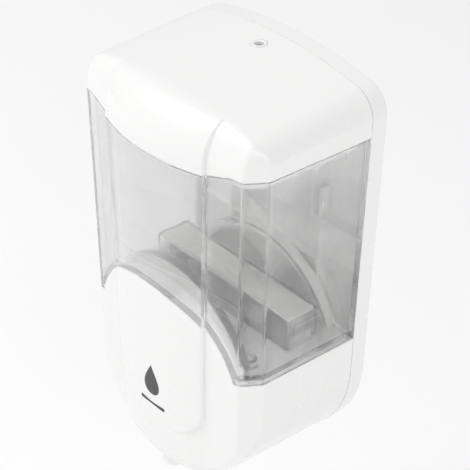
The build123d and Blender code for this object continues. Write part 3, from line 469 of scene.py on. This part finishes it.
def front_height(x, depth, inset, line):
    """Height of the round front edge: a quarter circle back from the front of the housing."""
    bend = LID_ROUND - inset
    back = lid_front(x, inset, line) - depth
    rise = LID_ROUND_Z + np.sqrt(np.maximum(bend**2 - (bend - np.clip(back, 0, bend)) ** 2, 0.0))
    return rise + LID_RISE * np.maximum(back - bend, 0.0)


def lid_front(x, inset, line):
    """Depth of the lid's front at x, its raised band included."""
    outside = np.interp(np.abs(x), line[::-1, 0], line[::-1, 1])
    band = band_depth(x, LID_Z, inset, BAND_SAG)
    return np.where(np.abs(x) <= BAND_X, band, outside)


def lid_skin(inset):
    """One skin of the lid as a grid. Columns follow the outline from the right rear to the left
    rear. Each column climbs its wall, turns over the round edge, and runs in to the middle of the
    rear seam; its height is the soft lower one of the dome and the round front edge."""
    line = flank(inset, SEAM)
    shares = np.concatenate([np.linspace(0, 0.55, 22), np.linspace(0.57, 1.0, 62)])
    outer = spaced(line, shares)
    step_x = BAND_X - np.array([0.02, 0.04, 0.06])
    step_depth = np.array([BAND_FOOT + 0.2, 0.5 * (BAND_FOOT + BAND_EDGE), BAND_EDGE - 0.12]) - inset
    band = band_line(BAND_X - 0.35, 40, LID_Z, inset)
    right = np.concatenate([outer, np.column_stack([step_x, step_depth]), band])
    foot = LID_Z - BAND_DROP * np.clip((DROP_X - right[:, 0]) / (DROP_X - BAND_X), 0, 1)
    inner_x = HALF_WIDTH - TOP_CORNER
    inner_depth = lid_front(np.minimum(right[:, 0], inner_x), inset, line) - (LID_ROUND - inset)
    shoulder = np.column_stack([soft_min(right[:, 0], inner_x, SHOULDER_SPREAD),
                                soft_min(right[:, 1], inner_depth, SHOULDER_SPREAD)])
    rows = []
    for inward, rise in RIM[::-1]:
        shrink = 1 - inward / BAND_X if inset == 0 else 1 + inward / BAND_X
        rows.append(np.column_stack([right[:, 0] * shrink, right[:, 1] * shrink, foot + rise]))
    for share in np.linspace(0.2, 1.0, 5):
        start = foot + RIM[0][1]
        rows.append(np.column_stack([right, start + (LID_ROUND_Z - start) * share]))
    for row in rows:
        leaned = np.where(row[:, 1] > SEAM + 1, lean(row[:, 2]), 0.0)
        row[:, :2] -= leaned[:, None] * np.sign(row[:, :2])
    for theta in np.linspace(0, math.pi / 2, 26)[1:]:
        share = 1 - math.cos(theta)
        rows.append(topped(right * (1 - share) + shoulder * share, inset, line))
    for share in np.linspace(0, 1, 34)[1:]:
        rows.append(topped(shoulder * (1 - share) + np.array([0.0, SEAM]) * share, inset, line))
    half = np.array(rows)
    left = half[:, -2::-1] * (-1, 1, 1)
    return np.concatenate([half, left], axis=1)


def topped(plan, inset, line):
    """Points on the lid's top above these places."""
    x, depth = plan[:, 0], np.maximum(plan[:, 1], SEAM)
    height = soft_min(dome_height(x, depth, inset), front_height(x, depth, inset, line), SPREAD)
    return np.column_stack([x, depth, height])


def shell(name, outer, inner):
    """A closed shell from two skins with the same grid, joined at the first row and the end columns."""
    rows, columns = outer.shape[:2]
    inside = rows * columns
    top = np.arange(rows - 1) * columns
    faces = [grid_faces(rows, columns), grid_faces(rows, columns, inside)[:, ::-1]]
    column = np.arange(columns - 1)
    faces.append(np.stack([column, inside + column, inside + column + 1, column + 1], axis=1))
    for edge in (0, columns - 1):
        faces.append(np.stack([top + edge, top + columns + edge, inside + top + columns + edge,
                               inside + top + edge], axis=1))
    points = np.concatenate([outer.reshape(-1, 3), inner.reshape(-1, 3)])
    return closed_mesh(name, points, np.concatenate(faces), FINE_MERGE)


def lid():
    """The domed lid with the hole for its lock bush."""
    mesh = shell("lid", lid_skin(0.0), lid_skin(WALL))
    bore = upright("bore", ring_points(bush_high[0] + BORE_PLAY, bush_middle), 90.0, 112.0)
    return smooth(combined(mesh, bore, "DIFFERENCE"))


LIP_SECTION = ((5.3, -5.0), (6.7, -5.0), (6.7, 3.0), (2.3, 3.0), (2.3, 1.0), (5.3, 1.0))
LIP_START = 3.7                      # the lip begins this far in front of the seam


def lid_lip():
    """The lip that drops inside the tank: an angle section of (inset, rise) carried along the
    outline."""
    rows = []
    for inset, rise in LIP_SECTION:
        right = spaced(flank(inset, SEAM + LIP_START), np.linspace(0, 1, 60))
        band = band_line(BAND_X, 20, LID_Z, inset)
        rows.append(level(mirrored(np.concatenate([right, band])), LID_Z + rise))
    points = np.array(rows)
    count = points.shape[1]
    around = [*grid_faces(len(rows) + 1, count) % (len(rows) * count)]
    ends = [[row * count for row in range(len(rows))],
            [row * count + count - 1 for row in range(len(rows))][::-1]]
    return smooth(closed_mesh("lid_lip", points, around + ends))


BUSH_OUTER, BUSH_INNER, BUSH_MOUTH = 3.75, 2.2, 2.5
BUSH_SUNK = 0.1                      # the ring's face lies this far below its own box


def lock_ring():
    """The ring in the lid's top, with a small bevel outside and a wider one at the keyhole."""
    low, top = bush_low[2], bush_high[2] - BUSH_SUNK
    profile = ((BUSH_INNER, low), (BUSH_OUTER, low), (BUSH_OUTER, top - 0.25), (BUSH_OUTER - 0.15, top),
               (BUSH_MOUTH, top), (BUSH_INNER, top - 0.3))
    return lathe("lock_ring", profile, bush_middle)


def lathe(name, profile, centre, count=96):
    """A closed turned piece: the profile of (radius, z) goes once round an upright axis."""
    turn = np.linspace(0, 2 * math.pi, count, endpoint=False)
    radius, z = np.asarray(profile, float).T[:, :, None]
    points = np.stack([centre[0] + radius * np.cos(turn), centre[1] + radius * np.sin(turn),
                       np.repeat(z, count, axis=1)], axis=2)
    faces = grid_faces(len(profile) + 1, count, wrap=True) % (len(profile) * count)
    return smooth(closed_mesh(name, points, faces))


# ------------------------------------------------------------------ lower cover
BOWL_FADE = 6.0                      # the round bottom edge moves out of the way beside the bowl
BOWL_TAPER = 0.8                     # the bowl narrows by this much more at its front
BOWL_SPREAD = 1.5
STEP_START, STEP_RISE, STEP_END = 0.55, 40.0, 0.02    # how the small step climbs at the band
BAND_SHARES = (0.0, 0.006, STEP_END, *np.linspace(0.04, 1, 34))


def bowl_depth(radius, weight, inset):
    """Depth of the round bottom edge at this distance from the bowl's centre."""
    bend = BOWL_ROUND - inset
    start = bowl_side(BOWL_FRONT, 1.0, inset) - bend
    flat = BOWL_FRONT + bend
    cone = flat + (BAND_CREST - BOWL_FRONT - BOWL_ROUND) * (1 - radius / start)
    edge = BOWL_FRONT + np.sqrt(np.maximum(bend**2 - np.clip(radius - start, 0, bend) ** 2, 0))
    return np.where(radius < start, cone, edge) + BOWL_FADE * (1 - weight)


def bowl_side(depth, weight, inset):
    """Radius of the round bottom's wall at this depth."""
    narrower = (SIDE_STEP + BOWL_TAPER * weight) * depth / BOWL_FRONT
    return HALF_WIDTH - lean(BOWL_Z) - inset - narrower


def band_radius(angle):
    """Distance from the bowl's centre to the band's outline: two straight sides, round lower
    corners and a level end."""
    side = BAND_X - lean(BOWL_Z)
    corner = np.array([side - BAND_CORNER, BOWL_Z - BAND_END - BAND_CORNER])
    along = np.abs(np.cos(angle)), np.sin(angle)
    straight = side / np.maximum(along[0], 1e-6)
    lower = (BOWL_Z - BAND_END) / np.maximum(along[1], 1e-6)
    ahead = along[0] * corner[0] + along[1] * corner[1]
    arc = ahead + np.sqrt(np.maximum(ahead**2 - corner @ corner + BAND_CORNER**2, 0))
    in_side = straight * along[1] < corner[1]
    in_lower = lower * along[0] < corner[0]
    return np.where(in_side, straight, np.where(in_lower, lower, arc))


def bowl_column(angle, inset, rear, shares):
    """One half section of the lower cover through the bowl's axis: where rays from the axis leave
    the form, found by halving, and sampled by length from the seam to the band's outline."""
    line = flank(inset, rear)
    weight = np.clip(math.sin(angle) / 0.5, 0, 1)
    weight = weight * weight * (3 - 2 * weight)
    rays = np.linspace(0, math.pi / 2, 700)
    out, ahead = np.cos(rays), np.sin(rays)
    low, high = np.zeros_like(rays), np.full_like(rays, 130.0)
    for _ in range(34):
        middle = (low + high) / 2
        radius, depth = middle * out, rear + middle * ahead
        x, z = radius * math.cos(angle), BOWL_Z - radius * math.sin(angle)
        round_front = bowl_depth(radius, weight, inset)
        front = soft_min(flush_depth(x, z, inset, line), round_front, BOWL_SPREAD)
        inside = (depth < front) & (radius < bowl_side(depth, weight, inset))
        low, high = np.where(inside, middle, low), np.where(inside, high, middle)
    profile = np.column_stack([low * out, rear + low * ahead])
    limit = band_radius(angle)
    kept = profile[profile[:, 0] > limit]
    end = np.array([limit, np.interp(limit, profile[::-1, 0], profile[::-1, 1])])
    out, depth = spaced(np.concatenate([kept, [end]]), shares).T
    return np.column_stack([out * math.cos(angle), depth, BOWL_Z - out * math.sin(angle)])


def wall_column(z, inset, rear, shares):
    """One half section above the bowl: the housing's level outline, from the seam to the band."""
    return level(spaced(flank(inset, rear + lean(z)), shares) - lean(z), z)


def cover_form(inset, rear, top, fine):
    """The lower cover as a closed form. Columns run from the top at the right, round the bottom,
    to the top at the left. Rows run from the seam over the round edge to the band's outline, up the
    small step, and over the band to the middle."""
    shares = np.concatenate([np.linspace(0, 0.45, 10), np.linspace(0.46, 1.0, 96 if fine else 50)])
    heights = np.linspace(top, BOWL_Z, 40, endpoint=False)
    angles = np.linspace(0, math.pi, 160 if fine else 90)
    columns = [wall_column(z, inset, rear, shares) for z in heights]
    columns += [bowl_column(angle, inset, rear, shares) for angle in angles]
    columns += [wall_column(z, inset, rear, shares) * (-1, 1, 1) for z in heights[::-1]]
    flanks = np.array(columns)
    edge = flanks[:, -1]
    middle_z = np.maximum(edge[:, 2], BOWL_Z)
    band = []
    for share in BAND_SHARES:
        x = edge[:, 0] * (1 - share)
        z = edge[:, 2] * (1 - share) + middle_z * share
        depth = band_depth(x, z, inset, BAND_SAG)
        radius = np.hypot(x, np.minimum(z - BOWL_Z, 0))
        round_front = np.where(z < BOWL_Z, bowl_depth(radius, 1.0, inset), 200.0)
        depth = soft_min(depth, round_front, BOWL_SPREAD)
        if share < STEP_END:
            depth = edge[:, 1] + (depth - edge[:, 1]) * (STEP_START + STEP_RISE * share)
        band.append(np.column_stack([x, depth, z]))
    grid = np.concatenate([flanks, np.array(band).transpose(1, 0, 2)], axis=1)
    count, rows = grid.shape[:2]
    faces = [*grid_faces(count, rows)]
    faces.append([column * rows for column in range(count)])
    right_end = list(range(rows))
    left_end = [(count - 1) * rows + row for row in range(rows)]
    faces.append(right_end + left_end[::-1][1:])
    return closed_mesh("cover_form", grid, faces)


DISC_Z, DISC_RADIUS = -44.0, 49.6
DISC_BACK = 67.5
BOSS = 3.5                           # the tank's outlet boss reaches this far below its deck
DECK_Z = tank_low[2] + BOSS
COVER_TOP = DECK_Z - GAP             # top edge of the cover beside the disc
FORM_TOP = 10.0
ASIDE, ABOVE, BELOW = 90.0, 60.0, -130.0     # clear of the cover's sides, its top and its bottom
AHEAD, BEHIND = 120.0, -10.0                 # depths clear of its front and its rear

NOZZLE_DEPTH = (nozzle_low[1] + nozzle_high[1]) / 2
SPOUT_RADIUS = 5.6
WINDOW_DEPTH = 52.0
WINDOW = (10.0, 4.0)
SWITCH = (22.2, 25.8), (54.0, 64.0)
OPENING_TOP = -90.0


def beside_disc(radius, floor_z):
    """The outline of what isn't disc above floor_z, seen from the front."""
    start = math.asin((floor_z - DISC_Z) / radius)
    turn = np.linspace(start, math.pi - start, 96)
    arc = np.column_stack([radius * np.cos(turn), DISC_Z + radius * np.sin(turn)])
    return np.concatenate([arc, [(-ASIDE, floor_z), (-ASIDE, ABOVE), (ASIDE, ABOVE), (ASIDE, floor_z)]])


def lower_shell():
    """The outer form less the inner one, with the disc left standing in front of the tank."""
    solid = cover_form(0.0, SEAM, FORM_TOP, True)
    above = prism("above", beside_disc(DISC_RADIUS, COVER_TOP), 40, AHEAD)
    behind = prism("behind", rectangle((-ASIDE, ASIDE), (COVER_TOP, ABOVE)), BEHIND, DISC_BACK)
    solid = changed(solid, [above, behind], "DIFFERENCE")
    hollow = cover_form(WALL, SEAM - 1, FORM_TOP, False)
    ledge = prism("ledge", beside_disc(DISC_RADIUS - WALL, COVER_TOP - WALL), DISC_BACK, AHEAD)
    hollow = combined(hollow, ledge, "DIFFERENCE")
    return combined(solid, hollow, "DIFFERENCE")


def door_column(gap):
    """The upright space of the battery door, wider by the gap on each side."""
    across = (door_low[0] - gap, door_high[0] + gap)
    along = (door_low[1] - gap, door_high[1] + gap)
    return upright("door", rectangle(across, along), BELOW, door_high[2] - 2)


def lower_cover(mesh):
    """The shell with the openings in its underside."""
    window = oblong(WINDOW[0] + 0.2, WINDOW[1] + 0.2, (0, WINDOW_DEPTH))
    openings = [
        door_column(GAP),
        upright("spout", ring_points(SPOUT_RADIUS, (0, NOZZLE_DEPTH)), BELOW, OPENING_TOP),
        upright("window", window, BELOW, OPENING_TOP),
        upright("switch", rectangle(*SWITCH), BELOW, OPENING_TOP)]
    return smooth(changed(mesh, openings, "DIFFERENCE"))


def battery_door(mesh):
    """The curved lid of the battery drawer, cut from the same shell."""
    return smooth(combined(mesh, door_column(0.0), "INTERSECT"))


# ------------------------------------------------------------------ tank
FLOOR_Z = DECK_Z + 5.0
TANK_REAR = tank_low[1]
FRONT_ARCH = (50.0, 67.0)            # radius and depth of the round pocket behind the disc
REAR_ARCH = (48.0, 16.0)             # radius and depth of the round pocket over the pump
BLOCK_MIDDLE = (0.0, 33.0)           # middle of the block over the cells
BLOCK_HALF, BLOCK_TOP, BLOCK_CORNER, BLOCK_BEND = (47.0, 9.7), -7.9, 2.6, 2.0
BLOCK_WALL = 1.6                     # the space for the cells is this much smaller all round
OUTLET = (5.0, 56.2)
OUTLET_BOSS, OUTLET_SEAT, OUTLET_BORE = 6.5, 4.6, 3.0
SCREW_PLACES = ((-42.0, 60.4), (42.0, 60.4))
SCREW_POST, SCREW_BORE = 4.2, 1.7


def housing_column(name, low, high, inset, rear):
    """A closed column of the housing's outline, which leans inwards on its way down."""
    loops = []
    for z in (low, high):
        flank_line = flank(inset, rear + lean(z)) - lean(z)
        band = band_line(BAND_X - lean(z) - 0.25, 36, z, inset)
        loops.append(level(mirrored(np.concatenate([flank_line, band])), z))
    return stacked(name, loops)


def cylinder(name, radius, near, far):
    """A closed cylinder along the depth on the axis of the round lower cover."""
    return prism(name, ring_points(radius, (0.0, DISC_Z), 160), near, far)


def soft_box(name, half, centre, corner, low, high, bend):
    """A closed block with round upright edges and a round upper edge: its outline shrinks by
    bend * (1 - cos) while it climbs by bend * sin."""
    loops = []
    for turn in (-1.0, *np.linspace(0.0, math.pi / 2, 9)):
        shrink = bend * (1 - math.cos(max(turn, 0.0)))
        z = low if turn < 0 else high - bend + bend * math.sin(turn)
        wide, deep, radius = half[0] - shrink, half[1] - shrink, max(corner - shrink, 0.05)
        quarter = np.linspace(0, math.pi / 2, 9)
        arc = np.column_stack([wide - radius + radius * np.cos(quarter),
                               deep - radius + radius * np.sin(quarter)])
        side = np.concatenate([arc, arc[::-1] * (-1, 1)])
        loops.append(level(np.concatenate([side, -side]) + centre, z))
    return stacked(name, loops)


def dip(gap):
    """The space that the lid's lower edge takes on the band: level in the middle, a ramp each side."""
    low, side, high = LID_Z - BAND_DROP - gap, LID_Z - gap, LID_Z + 1
    foot, top = BAND_X + gap, DROP_X + gap
    outline = [(-top, high), (-top, side), (-foot, low), (foot, low), (top, side), (top, high)]
    return prism("dip", outline, 70, 95)


def pockets(wall):
    """The round pockets in front of the tank and behind it, grown by a wall on every side."""
    return [cylinder("front", FRONT_ARCH[0] + wall, FRONT_ARCH[1] - wall, AHEAD),
            cylinder("rear", REAR_ARCH[0] + wall, BEHIND, REAR_ARCH[1] + wall)]


def cell_block(name, smaller, corner, bend):
    """The block over the cells, or the space for the cells in it when it is smaller all round."""
    half = (BLOCK_HALF[0] - smaller, BLOCK_HALF[1] - smaller)
    return soft_box(name, half, BLOCK_MIDDLE, corner, DECK_Z - 9, BLOCK_TOP - smaller, bend)


def tank():
    """The clear tank: an open column with a round pocket in front, one at the rear, and a block
    that stands up from its floor over the cells."""
    room = housing_column("room", FLOOR_Z, LID_Z + 9, WALL, TANK_REAR + WALL)
    block = cell_block("block", 0.0, BLOCK_CORNER, BLOCK_BEND)
    room = changed(room, [*pockets(WALL), block], "DIFFERENCE")
    mesh = housing_column("tank", DECK_Z, LID_Z - GAP, 0.0, TANK_REAR)
    cells = cell_block("cells", BLOCK_WALL, BLOCK_CORNER - BLOCK_WALL, 1.0)
    recess = housing_column("recess", DECK_Z - 6, FLOOR_Z - 3.0, WALL, TANK_REAR + WALL)
    mesh = changed(mesh, [room, dip(GAP), *pockets(0.0), cells, recess], "DIFFERENCE")
    boss = upright("boss", ring_points(OUTLET_BOSS, OUTLET), DECK_Z - BOSS, FLOOR_Z - 1)
    posts = [upright("post", ring_points(SCREW_POST, place), DECK_Z, FLOOR_Z - 1)
             for place in SCREW_PLACES]
    mesh = changed(mesh, [boss, *posts], "UNION")
    holes = [upright("bore", ring_points(radius, place), -50, FLOOR_Z + 1)
             for radius, place in ((SCREW_BORE, SCREW_PLACES[0]), (SCREW_BORE, SCREW_PLACES[1]),
                                   (OUTLET_BORE, OUTLET))]
    seat = upright("seat", ring_points(OUTLET_SEAT, OUTLET), FLOOR_Z - 1.5, FLOOR_Z + 1)
    return smooth(changed(mesh, [*holes, seat], "DIFFERENCE"), 25.0)


# ------------------------------------------------------------------ back plate
HANG_X, HANG_Z = 30.0, 60.0
COVER_SCREWS = [(x, z) for x in (-46.0, 46.0) for z in (-38.0, -66.0)]
WALL_SCREWS = [(x, -60.0) for x in (-38.0, 38.0)]
# radius and depth of the face: a cover screw's post and its head's seat, a wall screw's post, a pad
COVER_POST, COVER_SEAT, WALL_POST, PAD = (4.0, 8.8), (3.2, 3.0), (6.0, 5.0), (10.0, 4.0)
COVER_BORE, WALL_BORE = 1.7, 2.25
KEY_HEAD, KEY_SLOT = 4.5, (6.25, 2.25)       # radius of the head; half length and radius of the slot
POST_FOOT, RIB_FOOT = 0.5, 2.0               # posts, ribs and pads start inside the plate
RIB_HIGH, RIB_LOW = 8.6, 7.0                 # depths of the ribs' edges
REAR_BEND, INNER_BEND, FRONT_BEND = 1.3, 0.8, 0.12
# each rib: its reach in x, its reach in z, and the depth of its edge
RIBS = [((-30.8, -29.2), (-20, 40), 8.0), ((29.2, 30.8), (-20, 40), 8.0),
        ((-25.6, -24.4), (24, 86), RIB_HIGH), ((24.4, 25.6), (24, 86), RIB_HIGH),
        ((-57.0, -25.6), (24, 25.2), RIB_HIGH), ((25.6, 57.0), (24, 25.2), RIB_HIGH),
        ((-46.0, 46.0), (-80.0, -78.8), RIB_LOW), ((-50.0, 50.0), (0.0, 1.2), RIB_LOW)]


def face_outline(inset):
    """The housing seen from the front, from the crown down the right and up the left: a wide arc,
    a round corner, a leaning side and a round bottom, each tangent to the next."""
    middle = CROWN_Z - CROWN_RADIUS
    corner_x = HALF_WIDTH - TOP_CORNER
    corner_z = middle + math.sqrt((CROWN_RADIUS - TOP_CORNER) ** 2 - corner_x**2)
    meet = math.atan2(corner_x, corner_z - middle)
    tilt = math.atan(DRAFT)
    over = np.linspace(0, meet, 30, endpoint=False)
    round_off = np.linspace(meet, math.pi / 2 + tilt, 26)
    under = np.linspace(math.pi / 2 + tilt, math.pi, 60)
    bottom = HALF_WIDTH - lean(BOWL_Z)
    arcs = ((over, CROWN_RADIUS, (0, middle)), (round_off, TOP_CORNER, (corner_x, corner_z)),
            (under, bottom, (0, BOWL_Z)))
    half = np.concatenate([np.column_stack([np.sin(turn), np.cos(turn)]) * (radius - inset) + centre
                           for turn, radius, centre in arcs])
    return np.concatenate([half, half[-2:0:-1] * (-1, 1)])


def slab(name, rows):
    """A closed slab along the depth: each row gives a depth and how far the outline shrinks there."""
    return stacked(name, [facing(face_outline(inset), depth) for depth, inset in rows])


def rounding(depth, inset, bend, sign):
    """Rows of a quarter circle that meets the slab's side at depth and its face a bend further."""
    turn = np.linspace(0, math.pi / 2, 7)
    return list(zip(depth + sign * bend * np.sin(turn), inset + bend * (1 - np.cos(turn))))


def back_plate():
    """The shallow tray on the wall: round rims, ribs, screw posts, keyholes and the catch's guide."""
    rims = [*rounding(REAR_BEND, 0.0, REAR_BEND, -1)[::-1],
            *rounding(SEAM_PLATE - FRONT_BEND, 0.0, FRONT_BEND, 1)]
    hollow = [*rounding(WALL + INNER_BEND, WALL, INNER_BEND, -1)[::-1], (SEAM_PLATE + 1, WALL)]
    mesh = combined(slab("back_plate", rims), slab("hollow", hollow), "DIFFERENCE")
    added = [prism("rib", rectangle(x, z), RIB_FOOT, edge) for x, z, edge in RIBS]
    pads = [(x, HANG_Z + 3) for x in (-HANG_X, HANG_X)]
    added += [prism("pad", ring_points(PAD[0], place), RIB_FOOT, PAD[1]) for place in pads]
    for (radius, face), places in ((COVER_POST, COVER_SCREWS), (WALL_POST, WALL_SCREWS)):
        added += [prism("post", ring_points(radius, place), POST_FOOT, face) for place in places]
    guide = prism("guide", rectangle((-9, 9), (86, 98)), 1.0, 10.0)
    way = prism("way", rectangle((-6.3, 6.3), (88.7, 95.3)), WALL, 11)
    added.append(combined(guide, way, "DIFFERENCE"))
    cuts = [prism("bore", ring_points(COVER_BORE, place), -1, 10) for place in COVER_SCREWS]
    cuts += [prism("seat", ring_points(COVER_SEAT[0], place), -1, COVER_SEAT[1]) for place in COVER_SCREWS]
    cuts += [prism("bore", ring_points(WALL_BORE, place), -1, 6) for place in WALL_SCREWS]
    for x in (-HANG_X, HANG_X):
        slot = oblong(*KEY_SLOT, (HANG_Z + 4, x))[:, ::-1]
        cuts += [prism("slot", slot, -1, 5), prism("head", ring_points(KEY_HEAD, (x, HANG_Z)), -1, 5)]
    return smooth(changed(changed(mesh, added, "UNION"), cuts, "DIFFERENCE"))


# ------------------------------------------------------------------ printed mark
INK_SKINS = (0.12, -0.3)             # the patch's front and back, measured from the band
MARK_X, DROP_Z, DROP_MIDDLE_Z, BAR_Z = 0.8, -49.5, -53.0, -63.6


def ink(name, outline, middle):
    """A thin printed patch: rings shrink from the outline to its middle, and each point lies over
    the band's parabola in front and is sunk into it behind."""
    outline, middle = np.asarray(outline, float), np.asarray(middle, float)
    shares = np.linspace(0.02, 1.0, 14)
    rings = middle + (outline - middle) * shares[:, None, None]
    x, z = rings[..., 0], rings[..., 1]
    depth = band_depth(x, z, 0.0, BAND_SAG)
    skins = [np.stack([x, depth + rise, z], axis=2).reshape(-1, 3) for rise in INK_SKINS]
    rows, count = len(shares), len(outline)
    start = rows * count
    edge = start - count + np.arange(count)
    beside = start - count + (np.arange(count) + 1) % count
    rim = np.stack([edge, beside, start + beside, start + edge], axis=1)
    faces = [*grid_faces(rows, count, wrap=True), *grid_faces(rows, count, start, wrap=True), *rim,
             range(count), range(start, start + count)]
    return smooth(closed_mesh(name, np.concatenate(skins), faces))


def drop_outline(wide, high, middle):
    """A liquid drop: x is wide * sin(t) * sin(t / 2) ** 1.4 and z is high * cos(t)."""
    turn = np.linspace(0, 2 * math.pi, 96, endpoint=False)
    x = wide * np.sin(turn) * np.sin(turn / 2) ** 1.4
    return np.column_stack([x, high * np.cos(turn)]) + middle


def piece(name, mesh, node, material=None, stands_in=True):
    """An object for this mesh on a CAD node's body and slot; it usually stands in for the node."""
    body = next(b for b, members in frame["record"]["behaviour"]["bodies"].items() if node in members)
    thing = bpy.data.objects.new(name, mesh)
    bpy.context.scene.collection.objects.link(thing)
    mesh.materials.clear()
    mesh.materials.append(material or finish[slot_of[node]])
    even = thing.modifiers.new("even", "WEIGHTED_NORMAL")
    even.keep_sharp = True
    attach(thing, body)
    if stands_in:
        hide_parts(node)
    return thing


def smooth(mesh, degrees=32.0):
    """Smooth shading, with edges sharper than this angle left crisp."""
    mesh.shade_smooth()
    mesh.set_sharp_from_angle(angle=math.radians(degrees))
    return mesh


def merged(node):
    """A copy of a CAD node's mesh with its doubled points merged."""
    mesh = frame["nodes"][node].data.copy()
    work = bmesh.new()
    work.from_mesh(mesh)
    bmesh.ops.remove_doubles(work, verts=work.verts, dist=0.000001)
    work.to_mesh(mesh)
    work.free()
    return smooth(mesh)


def spring_coil():
    """The catch's spring: a merged copy of its CAD mesh that stands in for the node, with a mesh of its
    own.
    """
    spring = piece("spring_coil", merged("catch_spring"), "catch_spring")
    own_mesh(spring)


for node, thing in frame["nodes"].items():
    thing.data.materials.clear()
    thing.data.materials.append(finish[slot_of[node]])
frame["nodes"]["lid_catch"].data.materials[0] = finish["grey_plastic"]

for node in ("nozzle", "sensor_window"):
    piece(f"{node}_shell", merged(node), node)
piece("plate_shell", back_plate(), "back_plate")
spring_coil()
piece("tank_shell", tank(), "tank")
ink_grey = moulded("ink_grey", rgb(0.055, 0.055, 0.06), 0.4)
drop = ink("mark_drop", drop_outline(7.2, 8.6, (MARK_X, DROP_Z)), (MARK_X, DROP_MIDDLE_Z))
piece("mark_drop", drop, "lower_cover", ink_grey, False)
bar = ink("mark_bar", oblong(8.5, 0.95, (MARK_X, BAR_Z)), (MARK_X, BAR_Z))
piece("mark_bar", bar, "lower_cover", ink_grey, False)

piece("lid_shell", lid(), "lid")
piece("lid_lip", lid_lip(), "lid")
piece("lock_ring", lock_ring(), "lock_bush")
whole_shell = lower_shell()
piece("lower_shell", lower_cover(whole_shell), "lower_cover")
piece("door_shell", battery_door(whole_shell), "battery_door")


# ------------------------------------------------------------------ floor, light and camera
def floor():
    """A wide pale floor below the dispenser."""
    z = cad_box[0].z - 0.12
    mesh = bpy.data.meshes.new("floor")
    mesh.from_pydata([(*corner, z) for corner in rectangle((-6, 6), (-6, 6))], [], [(0, 1, 2, 3)])
    thing = bpy.data.objects.new("floor", mesh)
    bpy.context.scene.collection.objects.link(thing)
    g = Graph("pale_floor")
    mesh.materials.append(g.set(Base_Color=rgb(0.97), Roughness=0.9))


def lamp(name, place, target, size, power):
    """A square soft light that faces its target."""
    light = bpy.data.lights.new(name, "AREA")
    light.size = size
    light.energy = power
    thing = bpy.data.objects.new(name, light)
    thing.location = place
    way = thing.location - Vector(target)
    thing.rotation_euler = way.to_track_quat("Z", "Y").to_euler()
    bpy.context.scene.collection.objects.link(thing)


def studio():
    """White surroundings with a soft key from the upper left and a weaker fill from the right."""
    world = bpy.data.worlds.new("studio")
    bpy.context.scene.world = world
    world.use_nodes = True
    world.node_tree.nodes["Background"].inputs["Color"].default_value = rgb(1.0)
    world.node_tree.nodes["Background"].inputs["Strength"].default_value = 0.72
    middle = (0, -0.04, 0)
    lamp("key", (-0.9, -1.0, 1.5), middle, 0.9, 14.0)
    lamp("fill", (1.5, -0.6, 0.7), middle, 1.0, 5.0)


CAMERA_ANGLES = (48.58, 33.40, 1.11)         # degrees round, down and turned
CAMERA_PLACE = (0.46114, -0.43963, 0.41467)  # metres


def camera():
    """A long lens that looks down on the front right corner."""
    azimuth, elevation, roll = (math.radians(angle) for angle in CAMERA_ANGLES)
    ahead = math.cos(elevation)
    forward = np.array([-math.sin(azimuth) * ahead, math.cos(azimuth) * ahead, -math.sin(elevation)])
    across = np.array([math.cos(azimuth), math.sin(azimuth), 0.0])
    over = np.cross(across, forward)
    right = math.cos(roll) * across + math.sin(roll) * over
    up = math.cos(roll) * over - math.sin(roll) * across
    lens = bpy.data.cameras.new("camera")
    lens.lens = 122.0
    lens.sensor_width = 36.0
    lens.clip_start = 0.01
    thing = bpy.data.objects.new("camera", lens)
    bpy.context.scene.collection.objects.link(thing)
    turn = np.eye(4)
    turn[:3, 0], turn[:3, 1], turn[:3, 2] = right, up, -forward
    turn[:3, 3] = CAMERA_PLACE
    thing.matrix_world = Matrix(turn.tolist())
    bpy.context.scene.camera = thing


floor()
studio()
camera()
bpy.context.scene.view_settings.view_transform = "Standard"
